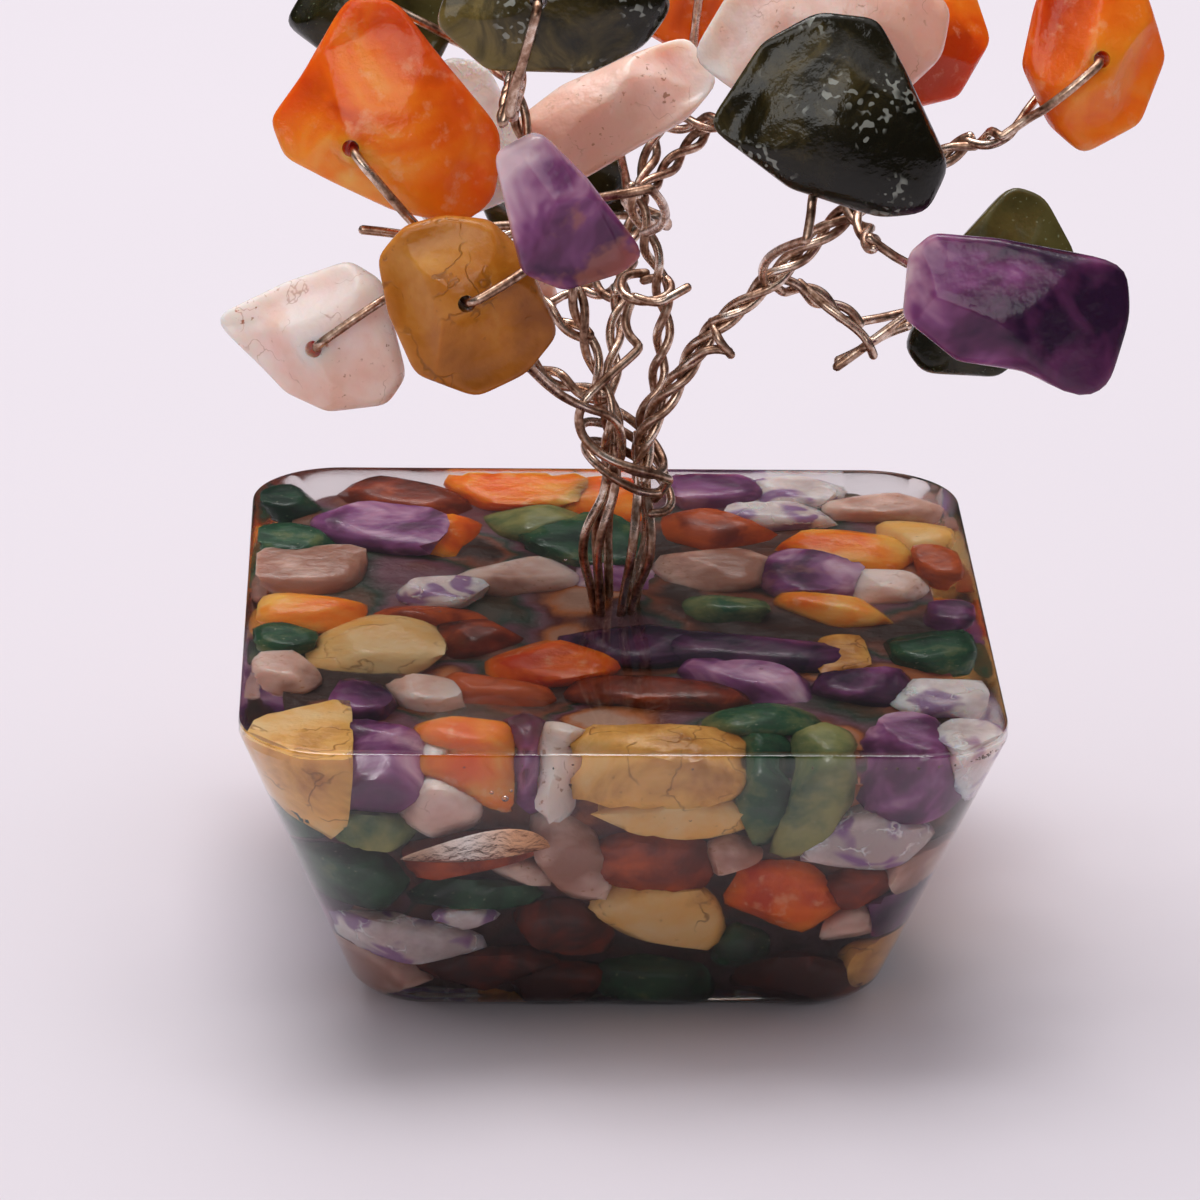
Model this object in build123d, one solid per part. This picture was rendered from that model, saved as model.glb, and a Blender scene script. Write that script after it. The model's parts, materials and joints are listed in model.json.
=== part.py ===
from build123d import *
import math
import os
from collections import namedtuple

import numpy as np
from scipy.spatial import HalfspaceIntersection

# Driving dimensions, in millimetres, with +Z up and the origin under the middle of the block

# Cast block of clear resin, square in plan, wider at the rim than at the foot
block_width = 40.0
foot_width = 28.0
block_height = 17.5
rim_height = 0.7
rim_corner_radius = 5.0
foot_corner_radius = 4.0
foot_edge_radius = 1.5

# Stone chips cast into the block
resin_skin = 0.5
bed_chip_gap = 0.25
bed_chip_reach = 3.6
bed_chip_pitch = 5.6

# Wire: one strand, the gap between the two legs of a stem, and the twisted bundle of a bough
wire_diameter = 0.5
pair_gap = 0.1
bough_diameter = 1.2

# Trunk of loose strands, and the wire bound round its neck
strand_embed = 8.0
trunk_root_radius = 1.05
trunk_bow_radius = 2.4
trunk_bow_height = 3.8
trunk_neck_height = 7.0
trunk_top_height = 9.6
trunk_lean = 0.5
fork_spacing = 1.6
fork_ball_diameter = 1.3
fork_gap = 0.2
binding_gap = 0.15
binding_pitch = 1.0
binding_tail = 1.2
binding_turns = 2.25
trunk_twist = 16.0

# Drilled chips of the crown, and the wire loops that carry them
chip_length = 10.0
chip_thickness = 4.5
hole_diameter = 0.9
loop_clearance = 0.2
loop_neck_run = 1.5
leg_bend_radius = 0.9
swing_limit = 12.0
swing_spare = 4.0

# Shared overrun of cuts
overrun = 1.0

wire_radius = wire_diameter / 2
bough_radius = bough_diameter / 2
hole_radius = hole_diameter / 2
fork_ball_radius = fork_ball_diameter / 2
fork_height = block_height + trunk_top_height + fork_gap + fork_ball_radius
neck_top = block_height + trunk_top_height


# Shared helpers

def unit(vector):
    """A vector of length one in the same direction."""
    return np.asarray(vector, float) / np.linalg.norm(vector)


def largest(shape):
    """The largest solid of a shape."""
    return max(shape.solids(), key=lambda solid: solid.volume)


def soft_radii(points, bend_share=0.45):
    """Bend radii that take a share of the shorter run at each corner of a route."""
    radii = []
    for before, corner, after in zip(points, points[1:], points[2:]):
        run_in = np.subtract(corner, before)
        run_out = np.subtract(after, corner)
        turn = math.acos(float(np.clip(unit(run_in) @ unit(run_out), -1, 1)))
        shorter = min(np.linalg.norm(run_in), np.linalg.norm(run_out))
        radii.append(bend_share * shorter / math.tan(turn / 2))
    return radii


def wire_tube(points, radius, radii=None):
    """A round wire along straight runs joined by tangent arcs."""
    points = [tuple(map(float, point)) for point in points]
    if len(points) == 2:
        path = Line(*points)
    else:
        path = FilletPolyline(*points, radius=radii or soft_radii(points))
    return sweep(Plane(origin=path @ 0, z_dir=path % 0) * Circle(radius), path=path)


def polyhedron(faces_of_points):
    """A solid bounded by flat polygons."""
    faces = [Face(Wire.make_polygon([tuple(map(float, point)) for point in loop], close=True))
             for loop in faces_of_points]
    return Solid(Shell(faces))


def save(name, solids):
    """One file for each node, a single solid or a group of separate solids."""
    solids = list(solids)
    shape = solids[0] if len(solids) == 1 else Compound(solids)
    shape.label = name
    export_step(shape, os.path.join("parts", name + ".step"))


os.makedirs("parts", exist_ok=True)


# Trunk: eight strands that stand in the resin, bow apart like a basket and draw in to a neck

fork_corners_shares = ((-0.5, -0.5), (0.5, -0.5), (0.5, 0.5), (-0.5, 0.5))
strand_bow_shares = (1.0, 0.8, 0.9, 1.05, 0.75, 0.95, 1.1, 0.85)
strand_pair_share = 0.58
fork_roots = [(trunk_lean + x * fork_spacing, y * fork_spacing) for x, y in fork_corners_shares]


def strand_route(index):
    """Points of one strand: its foot in the resin, its bow, and the neck under its bough."""
    pair, side = divmod(index, 2)
    corner_x, corner_y = fork_roots[pair]
    from_axis = unit((corner_x - trunk_lean, corner_y))
    across = np.array((-from_axis[1], from_axis[0])) * (2 * side - 1) * strand_pair_share * wire_diameter
    neck = np.array((corner_x, corner_y)) + across
    angle = math.atan2(neck[1], neck[0] - trunk_lean) - math.radians(trunk_twist)
    root = np.array((math.cos(angle), math.sin(angle))) * trunk_root_radius
    bow = root / trunk_root_radius * trunk_bow_radius * strand_bow_shares[index]
    bow[0] += trunk_lean / 2
    return [
        (*root, block_height - strand_embed),
        (*root, block_height),
        (*bow, block_height + trunk_bow_height),
        (*neck, block_height + trunk_neck_height),
        (*neck, neck_top),
    ]


strand_count = 2 * len(fork_roots)
strands = [wire_tube(strand_route(index), wire_radius) for index in range(strand_count)]


# Binding: a wire wound two and a quarter turns round the neck, its tails running straight off

turn_parts = 4
neck_reach = max(math.dist(strand_route(i)[-1][:2], (trunk_lean, 0)) for i in range(strand_count))
binding_radius = neck_reach + wire_radius + binding_gap + wire_radius
binding_height = binding_turns * binding_pitch
binding_base = neck_top - binding_height - wire_radius
binding_slope = binding_pitch / (2 * math.pi * binding_radius)


def binding_point(turn):
    """A point of the winding after a number of turns, and the direction of the wire there."""
    angle = 2 * math.pi * turn
    around = np.array((math.cos(angle), math.sin(angle), 0))
    point = around * binding_radius + (trunk_lean, 0, binding_base + turn * binding_pitch)
    return point, unit((-math.sin(angle), math.cos(angle), binding_slope))


def biarc(start, start_way, end, end_way):
    """Two tangent arcs that join two points with given directions."""
    chord = end - start
    both = start_way + end_way
    open_share = 2 * (1 - start_way @ end_way)
    reach = (-chord @ both + math.sqrt((chord @ both) ** 2 + open_share * (chord @ chord))) / open_share
    middle = (start + end + reach * (start_way - end_way)) / 2
    middle_way = unit(end - end_way * reach - start - start_way * reach)
    return [
        TangentArc(tuple(start), tuple(middle), tangent=tuple(start_way)),
        TangentArc(tuple(middle), tuple(end), tangent=tuple(middle_way)),
    ]


turn_stations = [part / turn_parts for part in range(int(binding_turns * turn_parts) + 1)]
winding = [binding_point(turn) for turn in turn_stations]
first_point, first_way = winding[0]
last_point, last_way = winding[-1]
binding_edges = [Line(tuple(first_point - first_way * binding_tail), tuple(first_point))]
for (start, start_way), (end, end_way) in zip(winding, winding[1:]):
    binding_edges += biarc(start, start_way, end, end_way)
binding_edges.append(Line(tuple(last_point), tuple(last_point + last_way * binding_tail)))
binding_path = Wire([edge for piece in binding_edges for edge in piece.edges()])
binding_end = Plane(origin=binding_path @ 0, z_dir=binding_path % 0)
binding = sweep(binding_end * Circle(wire_radius), path=binding_path)

points_per_turn = 60
station_count = int(binding_turns * points_per_turn)
binding_points = np.array([tuple(binding_path @ (i / station_count)) for i in range(station_count + 1)])
point_gaps = np.linalg.norm(binding_points[:, None] - binding_points[None], axis=2)
along_gaps = np.abs(np.subtract.outer(range(station_count + 1), range(station_count + 1)))
apart = along_gaps > points_per_turn / 2
print(f"least gap of the binding to itself {point_gaps[apart].min() - wire_diameter:.2f} mm")

save("trunk_wires", strands)
save("trunk_binding", [binding])


# Boughs: twisted bundles of wire that leave the fork, each on a rounded root that it bends at

Bough = namedtuple("Bough", "root route_shares")

# Route points are shares of the chip length, measured from the middle of the fork
boughs = {
    "left": Bough(0, ((-0.14, -0.08, 0.18), (-0.22, -0.05, 0.50), (-0.33, 0.02, 0.85), (-0.47, 0.10, 1.20),
                      (-0.60, 0.18, 1.62), (-0.64, 0.20, 2.05), (-0.70, 0.16, 2.42))),
    "right": Bough(1, ((0.19, -0.11, 0.17), (0.38, -0.12, 0.53), (0.71, -0.12, 0.84), (1.15, -0.10, 1.27),
                       (1.64, -0.06, 1.55), (1.78, -0.05, 1.62))),
    "center": Bough(2, ((0.17, 0.12, 0.22), (0.20, 0.15, 0.52), (0.17, 0.17, 0.77), (0.07, 0.14, 1.03),
                        (0.01, 0.12, 1.27))),
    "back": Bough(3, ((-0.09, 0.22, 0.25), (-0.03, 0.58, 0.52), (0.05, 1.05, 0.74), (0.15, 1.50, 1.00),
                      (0.25, 1.70, 1.32))),
}


def crown_point(shares):
    """A place in the crown from shares of the chip length, measured from the fork."""
    return np.array((trunk_lean, 0, fork_height)) + np.asarray(shares) * chip_length


def bough_root(bough):
    """The point that a bough bends at."""
    return np.array((*fork_roots[bough.root], fork_height))


bough_solids = {}
for bough_name, bough in boughs.items():
    route = [bough_root(bough)] + [crown_point(shares) for shares in bough.route_shares]
    body = wire_tube(route, bough_radius)
    body += Pos(*route[0]) * Sphere(fork_ball_radius)
    body += Pos(*route[-1]) * Sphere(bough_radius)
    bough_solids[bough_name] = largest(body)
    save(bough_name + "_bough", [bough_solids[bough_name]])


# Crown chips: tumbled stones, each drilled through its flat faces and hung on a loop of wire

# Outlines are shares of the chip length, as seen along the drilled hole
carnelian_left_shares = ((-0.62, -0.10), (-0.46, 0.14), (-0.22, 0.58), (0.02, 0.56), (0.22, 0.32),
                         (0.60, -0.10), (0.58, -0.46), (0.42, -0.60), (0.06, -0.55), (-0.30, -0.40),
                         (-0.54, -0.29))
yellow_left_shares = ((-0.47, 0.26), (-0.33, 0.42), (-0.12, 0.47), (0.12, 0.44), (0.30, 0.26),
                      (0.47, -0.16), (0.30, -0.37), (0.04, -0.49), (-0.28, -0.36), (-0.42, -0.03))
rose_left_shares = ((-0.55, 0.03), (-0.16, 0.26), (0.18, 0.41), (0.37, 0.32), (0.54, -0.18), (0.45, -0.34),
                    (0.13, -0.41), (-0.11, -0.33), (-0.26, -0.20))
amethyst_center_shares = ((-0.38, 0.32), (-0.15, 0.43), (0.08, 0.19), (0.39, -0.24), (0.26, -0.33),
                          (-0.04, -0.40), (-0.25, -0.30))
rose_center_shares = ((-0.60, -0.12), (-0.27, 0.14), (0.10, 0.31), (0.42, 0.42), (0.59, 0.17),
                      (0.41, -0.04), (0.10, -0.22), (-0.17, -0.38), (-0.50, -0.34))
rose_top_shares = ((-0.70, -0.20), (-0.47, 0.22), (-0.13, 0.42), (0.38, 0.38), (0.67, 0.10), (0.63, -0.16),
                   (0.39, -0.40), (-0.10, -0.44), (-0.45, -0.38))
moss_shares = ((-0.63, -0.03), (-0.34, 0.39), (-0.05, 0.54), (0.26, 0.50), (0.41, 0.21), (0.62, -0.26),
               (0.50, -0.50), (0.26, -0.52), (-0.21, -0.36))
carnelian_right_shares = ((-0.38, -0.05), (-0.29, 0.26), (-0.17, 0.56), (0.14, 0.58), (0.32, 0.26),
                          (0.40, -0.05), (0.24, -0.39), (-0.08, -0.53), (-0.25, -0.37))
green_right_shares = ((0.14, 0.52), (0.32, 0.45), (0.48, 0.13), (0.37, -0.26), (0.02, -0.51),
                      (-0.39, -0.47), (-0.49, -0.32), (-0.18, 0.21))
amethyst_right_shares = ((-0.56, 0.29), (-0.44, 0.40), (-0.08, 0.38), (0.57, 0.27), (0.60, 0.00),
                         (0.50, -0.38), (0.32, -0.46), (0.13, -0.31), (-0.29, -0.26), (-0.58, -0.04))
olive_shares = ((-0.60, -0.10), (-0.50, 0.20), (-0.13, 0.37), (0.43, 0.30), (0.60, -0.02), (0.45, -0.22),
                (0.18, -0.35), (-0.34, -0.33))
leaf_shares = ((-0.48, -0.14), (-0.33, 0.16), (0.06, 0.34), (0.38, 0.28), (0.48, 0.00), (0.36, -0.30),
               (-0.14, -0.36))
pebble_shares = ((-0.40, 0.02), (-0.28, 0.30), (0.04, 0.40), (0.32, 0.30), (0.42, -0.04), (0.22, -0.34),
                 (-0.10, -0.40), (-0.34, -0.26))
wedge_shares = ((-0.50, -0.20), (-0.24, 0.20), (0.02, 0.46), (0.22, 0.44), (0.46, 0.04), (0.48, -0.24),
                (0.18, -0.38), (-0.26, -0.36))

Chip = namedtuple("Chip", ("bough", "place_shares", "yaw", "pitch", "outline_shares", "hole_shares",
                           "heading", "attach_shares", "way_shares"))

# Yaw and pitch turn the hole from the front, heading is the way that the stem leaves in the plane of
# the outline, and the stem joins its bough at the attach point after the way points
chips = {
    "carnelian_left": Chip("left", (-1.29, -0.05, 1.79), -8, 10, carnelian_left_shares, (-0.16, -0.20), -48,
                           (-0.38, 0.05, 0.98), ((-0.69, -0.10, 1.19),)),
    "yellow_left": Chip("left", (-0.87, -0.76, 0.95), 5, 8, yellow_left_shares, (-0.03, 0.05), 28,
                        (-0.45, 0.08, 1.13), ()),
    "rose_quartz_left": Chip("left", (-1.70, 0.20, 0.43), -15, 15, rose_left_shares, (0.08, -0.06), 40,
                             (-0.14, -0.08, 0.18), ((-0.85, 0.25, 0.50), (-0.47, 0.05, 0.24))),
    "amethyst_center": Chip("center", (-0.37, -1.20, 1.61), 12, 10, amethyst_center_shares, (-0.02, 0.00),
                            12, (0.07, 0.14, 1.03), ((0.24, -0.62, 1.36),)),
    "rose_quartz_center": Chip("center", (-0.09, 0.95, 1.44), 0, 26, rose_center_shares, (0.02, 0.02), -80,
                               (0.01, 0.12, 1.27), ()),
    "rose_quartz_top": Chip("right", (1.01, 0.40, 2.12), -4, 22, rose_top_shares, (0.05, 0.00), -86,
                            (1.15, -0.10, 1.27), ()),
    "moss_agate": Chip("right", (0.97, -0.70, 1.96), 5, 18, moss_shares, (0.02, -0.04), -104,
                       (0.71, -0.12, 0.84), ((0.70, -0.42, 1.05),)),
    "carnelian_back": Chip("back", (1.57, 1.20, 1.80), 10, 20, pebble_shares, (-0.02, 0.00), -150,
                           (0.20, 1.60, 1.16), ((0.72, 1.28, 1.26),)),
    "carnelian_right": Chip("right", (2.39, 0.00, 2.10), 12, 18, carnelian_right_shares, (-0.02, -0.04),
                            -142, (1.78, -0.05, 1.62), ()),
    "green_right": Chip("right", (1.94, 0.30, 0.71), 8, 22, green_right_shares, (0.00, -0.06), 190,
                        (0.71, -0.12, 0.84), ((0.95, 0.05, 0.78),)),
    "amethyst_right": Chip("right", (1.96, -0.80, 0.94), -4, 15, amethyst_right_shares, (-0.24, 0.06), 152,
                           (1.15, -0.10, 1.27), ((1.25, -0.42, 1.16),)),
    "olive_top": Chip("left", (-0.46, -1.20, 2.71), 4, 16, olive_shares, (-0.10, 0.02), -104,
                      (-0.64, 0.20, 2.05), ((-0.62, -0.55, 2.12),)),
    "green_top_left": Chip("left", (-1.36, 0.60, 2.15), -10, 24, leaf_shares, (0.02, 0.00), -22,
                           (-0.62, 0.19, 1.86), ()),
    "orange_top": Chip("back", (0.42, 1.85, 1.90), 0, 30, pebble_shares, (0.00, 0.00), -96,
                       (0.25, 1.70, 1.32), ()),
    "clear_left": Chip("left", (-1.01, 0.52, 1.40), -6, 18, wedge_shares, (0.02, -0.02), -75,
                       (-0.22, -0.05, 0.50), ()),
    "green_top": Chip("left", (-0.95, 0.25, 3.30), -20, 42, wedge_shares, (0.02, 0.00), -80,
                      (-0.70, 0.16, 2.42), ()),
    "rose_quartz_back": Chip("back", (-0.75, 1.00, 0.36), 170, 12, pebble_shares, (0.00, 0.00), 170,
                             (-0.03, 0.58, 0.52), ()),
    "green_back": Chip("back", (-0.35, 1.72, 0.78), 185, 16, leaf_shares, (0.00, 0.00), 205,
                       (0.05, 1.05, 0.74), ()),
    "red_back": Chip("back", (1.12, 1.62, 1.18), 175, 20, pebble_shares, (0.00, 0.00), -5,
                     (0.10, 1.275, 0.87), ()),
}

# Each side of a chip steps in from its full outline to a flat cap, towards the drilled hole
side_height_shares = (0.0, 0.62, 1.0)
front_scale_shares = (1.0, 0.86, 0.52)
back_scale_shares = (1.0, 0.80, 0.46)


def chip_axes(chip):
    """Right, up and facing directions of a chip."""
    yaw = math.radians(chip.yaw)
    pitch = math.radians(chip.pitch)
    facing = np.array((math.sin(yaw) * math.cos(pitch), -math.cos(yaw) * math.cos(pitch), math.sin(pitch)))
    right = np.array((math.cos(yaw), math.sin(yaw), 0))
    return right, np.cross(facing, right), facing


def chip_point(chip, across, up, out):
    """A point in a chip's own directions, from its middle."""
    axes = chip_axes(chip)
    return crown_point(chip.place_shares) + axes[0] * across + axes[1] * up + axes[2] * out


def chip_stone(chip):
    """A faceted tumbled stone with its drilled hole."""
    outline = np.array(chip.outline_shares) * chip_length
    hole = np.array(chip.hole_shares) * chip_length
    half = chip_thickness / 2

    def ring(height_share, scale_share, side):
        flat = hole + (outline - hole) * scale_share
        return [chip_point(chip, x, y, side * height_share * half) for x, y in flat]

    count = len(outline)
    loops = []
    for side, scales in ((1, front_scale_shares), (-1, back_scale_shares)):
        rings = [ring(height, scale, side) for height, scale in zip(side_height_shares, scales)]
        for lower, upper in zip(rings, rings[1:]):
            for i in range(count):
                j = (i + 1) % count
                loops.append((lower[i], lower[j], upper[i]))
                loops.append((lower[j], upper[j], upper[i]))
        loops.append(rings[-1])
    stone = polyhedron(loops)
    axis_start = chip_point(chip, *hole, -half - overrun)
    drill = Plane(origin=tuple(axis_start), z_dir=tuple(chip_axes(chip)[2])) * Cylinder(
        hole_radius, chip_thickness + 2 * overrun, align=(Align.CENTER, Align.CENTER, Align.MIN))
    return largest(stone - drill)


swing_samples = 13


def outline_reach(chip):
    """The farthest that the outline comes from the hole while the chip swings under its stem."""
    outline = (np.array(chip.outline_shares) - chip.hole_shares) * chip_length
    widest = swing_limit + swing_spare
    farthest = 0
    for turn in np.radians(np.linspace(chip.heading - widest, chip.heading + widest, swing_samples)):
        way = np.array((math.cos(turn), math.sin(turn)))
        for start, end in zip(outline, np.roll(outline, -1, axis=0)):
            edge = end - start
            across = way[0] * edge[1] - way[1] * edge[0]
            if abs(across) > 0:
                distance = (start[0] * edge[1] - start[1] * edge[0]) / across
                place = (start[0] * way[1] - start[1] * way[0]) / across
                if distance > 0 and 0 <= place <= 1:
                    farthest = max(farthest, distance)
    return farthest


def pair_way(runs):
    """The direction that sets the legs of a stem side by side, as square to all its runs as it can be."""
    ways = [unit(np.cross(first, second)) for i, first in enumerate(runs) for second in runs[i + 1:]]
    return max(ways, key=lambda way: min(1 - abs(way @ run) for run in runs))


def chip_stem(chip):
    """One wire: up to the neck, over the face, through the hole, under the other face and down again."""
    hole = np.array(chip.hole_shares) * chip_length
    heading = math.radians(chip.heading)
    way = np.array((math.cos(heading), math.sin(heading)))
    leg_height = chip_thickness / 2 + hole_radius
    leg_end = outline_reach(chip) + loop_clearance + wire_radius
    neck = leg_end + loop_neck_run

    def at(along, out):
        return chip_point(chip, *(hole + way * along), out)

    route = [at(neck, 0)] + [crown_point(shares) for shares in (*chip.way_shares, chip.attach_shares)]
    runs = [unit(end - start) for start, end in zip(route, route[1:])]
    side = pair_way(runs + [chip_axes(chip)[2]]) * (wire_diameter + pair_gap) / 2
    loop = [at(leg_end, leg_height), at(0, leg_height), at(0, -leg_height), at(leg_end, -leg_height)]
    points = [point + side for point in reversed(route)] + loop + [point - side for point in route]
    radii = soft_radii(points)
    first_bend = len(route) - 1
    loop_bends = (leg_bend_radius, hole_radius, hole_radius, leg_bend_radius)
    radii[first_bend:first_bend + len(loop)] = loop_bends
    stem = wire_tube(points, wire_radius, radii)
    return largest(stem - bough_solids[chip.bough])


for chip_name, chip in chips.items():
    save(chip_name + "_chip", [chip_stone(chip)])
    save(chip_name + "_stem", [chip_stem(chip)])


# Bed of chips: oblong stones laid flat to the faces that they show through, each kept apart from its
# neighbours by a flat gap, and loose filling behind them

stone_kinds = {
    "A": "amethyst", "C": "carnelian", "R": "rose_quartz", "G": "green_aventurine",
    "Y": "yellow_jasper", "J": "red_jasper", "Q": "clear_quartz",
}

# Stones under the top: kind, place across and along the rim, half length, half width, and turn in degrees
top_stones_shares = (
    ("A", -0.66, 0.6, 0.95, 0.75, -15), ("R", -0.85, 0.27, 0.85, 0.7, 0), ("C", -0.85, 0.0, 0.8, 0.6, -15),
    ("G", -0.95, -0.2, 0.4, 0.5, 0), ("R", -0.91, -0.4, 0.55, 0.45, 0), ("Y", -0.62, -0.2, 0.82, 0.75, 25),
    ("J", -0.38, -0.17, 0.5, 0.55, 0), ("C", -0.18, -0.36, 0.9, 0.6, 0), ("A", -0.68, -0.61, 0.45, 0.6, 0),
    ("R", -0.5, -0.55, 0.5, 0.5, 0), ("J", -0.34, -0.53, 0.8, 0.35, 0), ("C", -0.4, -0.8, 0.8, 0.5, 0),
    ("A", -0.26, -0.78, 0.35, 0.4, 0), ("R", -0.17, -0.8, 0.3, 0.3, 0), ("A", 0.06, -0.22, 0.9, 0.6, -5),
    ("A", 0.36, -0.27, 1.15, 0.55, -5), ("J", 0.1, -0.53, 1.25, 0.45, -12), ("G", 0.29, 0.03, 0.45, 0.4, 0),
    ("C", 0.67, 0.45, 0.95, 0.75, 0), ("C", 0.58, 0.05, 0.8, 0.35, -30), ("R", 0.76, 0.21, 0.55, 0.55, 0),
    ("A", 0.93, -0.03, 0.33, 0.4, 0), ("G", 0.84, -0.25, 0.75, 0.55, 0), ("A", 0.65, -0.47, 0.68, 0.6, 0),
    ("Q", 0.86, -0.56, 0.65, 0.55, 0), ("G", 0.35, -0.72, 0.8, 0.5, 0), ("Y", 0.1, -0.85, 1.15, 0.5, 0),
    ("G", -0.19, 0.64, 0.7, 0.6, -20), ("R", -0.25, 0.25, 0.85, 0.5, 0), ("Q", -0.48, 0.14, 0.6, 0.5, 0),
    ("R", 0.29, 0.34, 0.85, 0.5, 0), ("Q", 0.48, 0.7, 0.8, 0.45, 0), ("R", 0.78, 0.76, 0.9, 0.4, 0),
    ("J", 0.97, 0.35, 0.35, 0.6, 0), ("G", -0.95, 0.82, 0.4, 0.5, 0),
)

# Stones behind the front: kind, place across the wall and up it, half length, half height, and turn
front_stones_shares = (
    ("Y", -0.84, 0.87, 0.78, 0.85, 0), ("G", -0.92, 0.7, 0.42, 0.28, 0), ("G", -0.71, 0.73, 0.7, 0.27, -10),
    ("A", -0.66, 0.86, 0.7, 0.36, 0), ("R", -0.5, 0.8, 0.6, 0.45, 0), ("J", -0.43, 0.62, 1.05, 0.3, 8),
    ("R", -0.16, 0.62, 0.9, 0.5, -60), ("G", -0.82, 0.51, 0.85, 0.5, 0), ("R", -0.3, 0.55, 0.4, 0.2, 0),
    ("G", -0.46, 0.45, 1.0, 0.25, 0), ("Q", -0.69, 0.28, 1.1, 0.38, -10), ("R", -0.93, 0.12, 0.8, 0.35, 0),
    ("J", -0.47, 0.18, 1.0, 0.33, 0), ("Q", -0.5, 0.37, 0.45, 0.18, 0), ("J", -0.19, 0.35, 0.6, 0.35, 0),
    ("Y", 0.15, 0.8, 1.25, 0.42, -8), ("J", 0.08, 0.61, 0.9, 0.42, 0), ("Y", 0.12, 0.38, 1.05, 0.5, -20),
    ("G", 0.37, 0.8, 0.45, 0.55, 0), ("G", 0.51, 0.8, 0.9, 0.42, 65), ("C", 0.5, 0.48, 0.82, 0.5, -15),
    ("R", 0.32, 0.62, 0.38, 0.3, 0), ("Q", 0.7, 0.68, 0.75, 0.55, 0), ("A", 0.78, 0.86, 0.55, 0.55, 0),
    ("R", 0.9, 0.54, 0.5, 0.38, 0), ("J", 0.72, 0.5, 0.45, 0.3, 0), ("A", 0.94, 0.38, 0.9, 0.32, 20),
    ("R", 0.76, 0.35, 0.36, 0.22, 15), ("G", 0.41, 0.26, 0.4, 0.35, 0), ("G", 0.12, 0.12, 0.9, 0.3, 0),
    ("J", 0.64, 0.13, 0.9, 0.3, 0), ("Y", 0.9, 0.16, 0.45, 0.45, 0), ("Q", 0.94, 0.92, 0.45, 0.5, 0),
    ("J", -0.2, 0.12, 0.75, 0.3, 0),
)
top_thickness_share = 0.50
front_thickness_share = 0.55
filling_size_shares = (0.62, 1.05)
filling_jitter_share = 0.30
cell_middle_share = 0.5
seed_margin_share = 0.14
seed_spacing_share = 0.62
neighbour_reach_share = 4.0
worn_facets = 18
worn_reach_shares = (0.90, 1.06)

half_rim = block_width / 2
half_foot = foot_width / 2
wall_height = block_height - rim_height
wall_lean = math.atan2(half_rim - half_foot, wall_height)
trunk_keep_out = trunk_root_radius + wire_radius + bed_chip_gap
trunk_foot = block_height - strand_embed - bed_chip_gap

# The shape of a stone is the matrix whose product with a direction, twice, is its half size squared
Stone = namedtuple("Stone", "kind middle shape")


def half_width(height):
    """Half the width of the block at a height."""
    return half_foot + (half_rim - half_foot) * min(height / wall_height, 1)


def bed_limits():
    """Flat limits of the bed inside the block's skin, each as a normal and its reach."""
    limits = [((0, 0, 1), block_height - resin_skin), ((0, 0, -1), -resin_skin)]
    for step in range(4):
        turn = step * math.pi / 2
        flat = np.array((math.cos(turn), math.sin(turn))) * math.cos(wall_lean)
        limits.append(((*flat, -math.sin(wall_lean)), half_foot * math.cos(wall_lean) - resin_skin))
        corner = np.array((math.cos(turn + math.pi / 4), math.sin(turn + math.pi / 4)))
        foot_reach = math.sqrt(2) * (half_foot - foot_corner_radius) + foot_corner_radius
        rim_reach = math.sqrt(2) * (half_rim - rim_corner_radius) + rim_corner_radius
        lean = math.atan2(rim_reach - foot_reach, wall_height)
        corner_side = (*(corner * math.cos(lean)), -math.sin(lean))
        limits.append((corner_side, foot_reach * math.cos(lean) - resin_skin))
    return [(np.array(normal), reach) for normal, reach in limits]


def laid_stone(kind, middle, axes, half_sizes):
    """A stone with its half sizes along three square directions."""
    axes = np.array(axes, float)
    return Stone(kind, np.array(middle, float), axes.T @ np.diag(np.square(half_sizes)) @ axes)


def shown_stones():
    """The stones that show through the top and the front."""
    stones = []
    for kind, across, along, length, width, turn in top_stones_shares:
        half_sizes = np.array((length, width, top_thickness_share)) * bed_chip_reach
        middle = (across * half_rim, along * half_rim, block_height - resin_skin - half_sizes[2])
        c, s = math.cos(math.radians(turn)), math.sin(math.radians(turn))
        stones.append(laid_stone(kind, middle, ((c, s, 0), (-s, c, 0), (0, 0, 1)), half_sizes))
    for kind, across, up, length, height, turn in front_stones_shares:
        half_sizes = np.array((length, height, front_thickness_share)) * bed_chip_reach
        wall = half_width(up * block_height)
        middle = (across * wall, half_sizes[2] + resin_skin - wall, up * block_height)
        c, s = math.cos(math.radians(turn)), math.sin(math.radians(turn))
        stones.append(laid_stone(kind, middle, ((c, 0, s), (-s, 0, c), (0, 1, 0)), half_sizes))
    return stones


def filling_stones():
    """Stones of any kind on a loose grid through the whole block."""
    draw = np.random.default_rng(11)
    letters = "".join(stone_kinds)
    rows = int(block_width / bed_chip_pitch)
    layers = int(block_height / bed_chip_pitch)
    stones = []
    for layer, row, column in np.ndindex(layers, rows, rows):
        jitter = draw.uniform(-filling_jitter_share, filling_jitter_share, 3) + cell_middle_share
        height = (layer + jitter[2]) * block_height / layers
        wall = half_width(height)
        across, along = ((np.array((column, row)) + jitter[:2]) / rows * 2 - 1) * wall
        middle = (across, along, height)
        axes = np.linalg.qr(draw.normal(size=(3, 3)))[0]
        half_sizes = draw.uniform(*filling_size_shares, 3) * bed_chip_reach
        stones.append(laid_stone(letters[draw.integers(len(letters))], middle, axes, half_sizes))
    return stones


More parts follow.
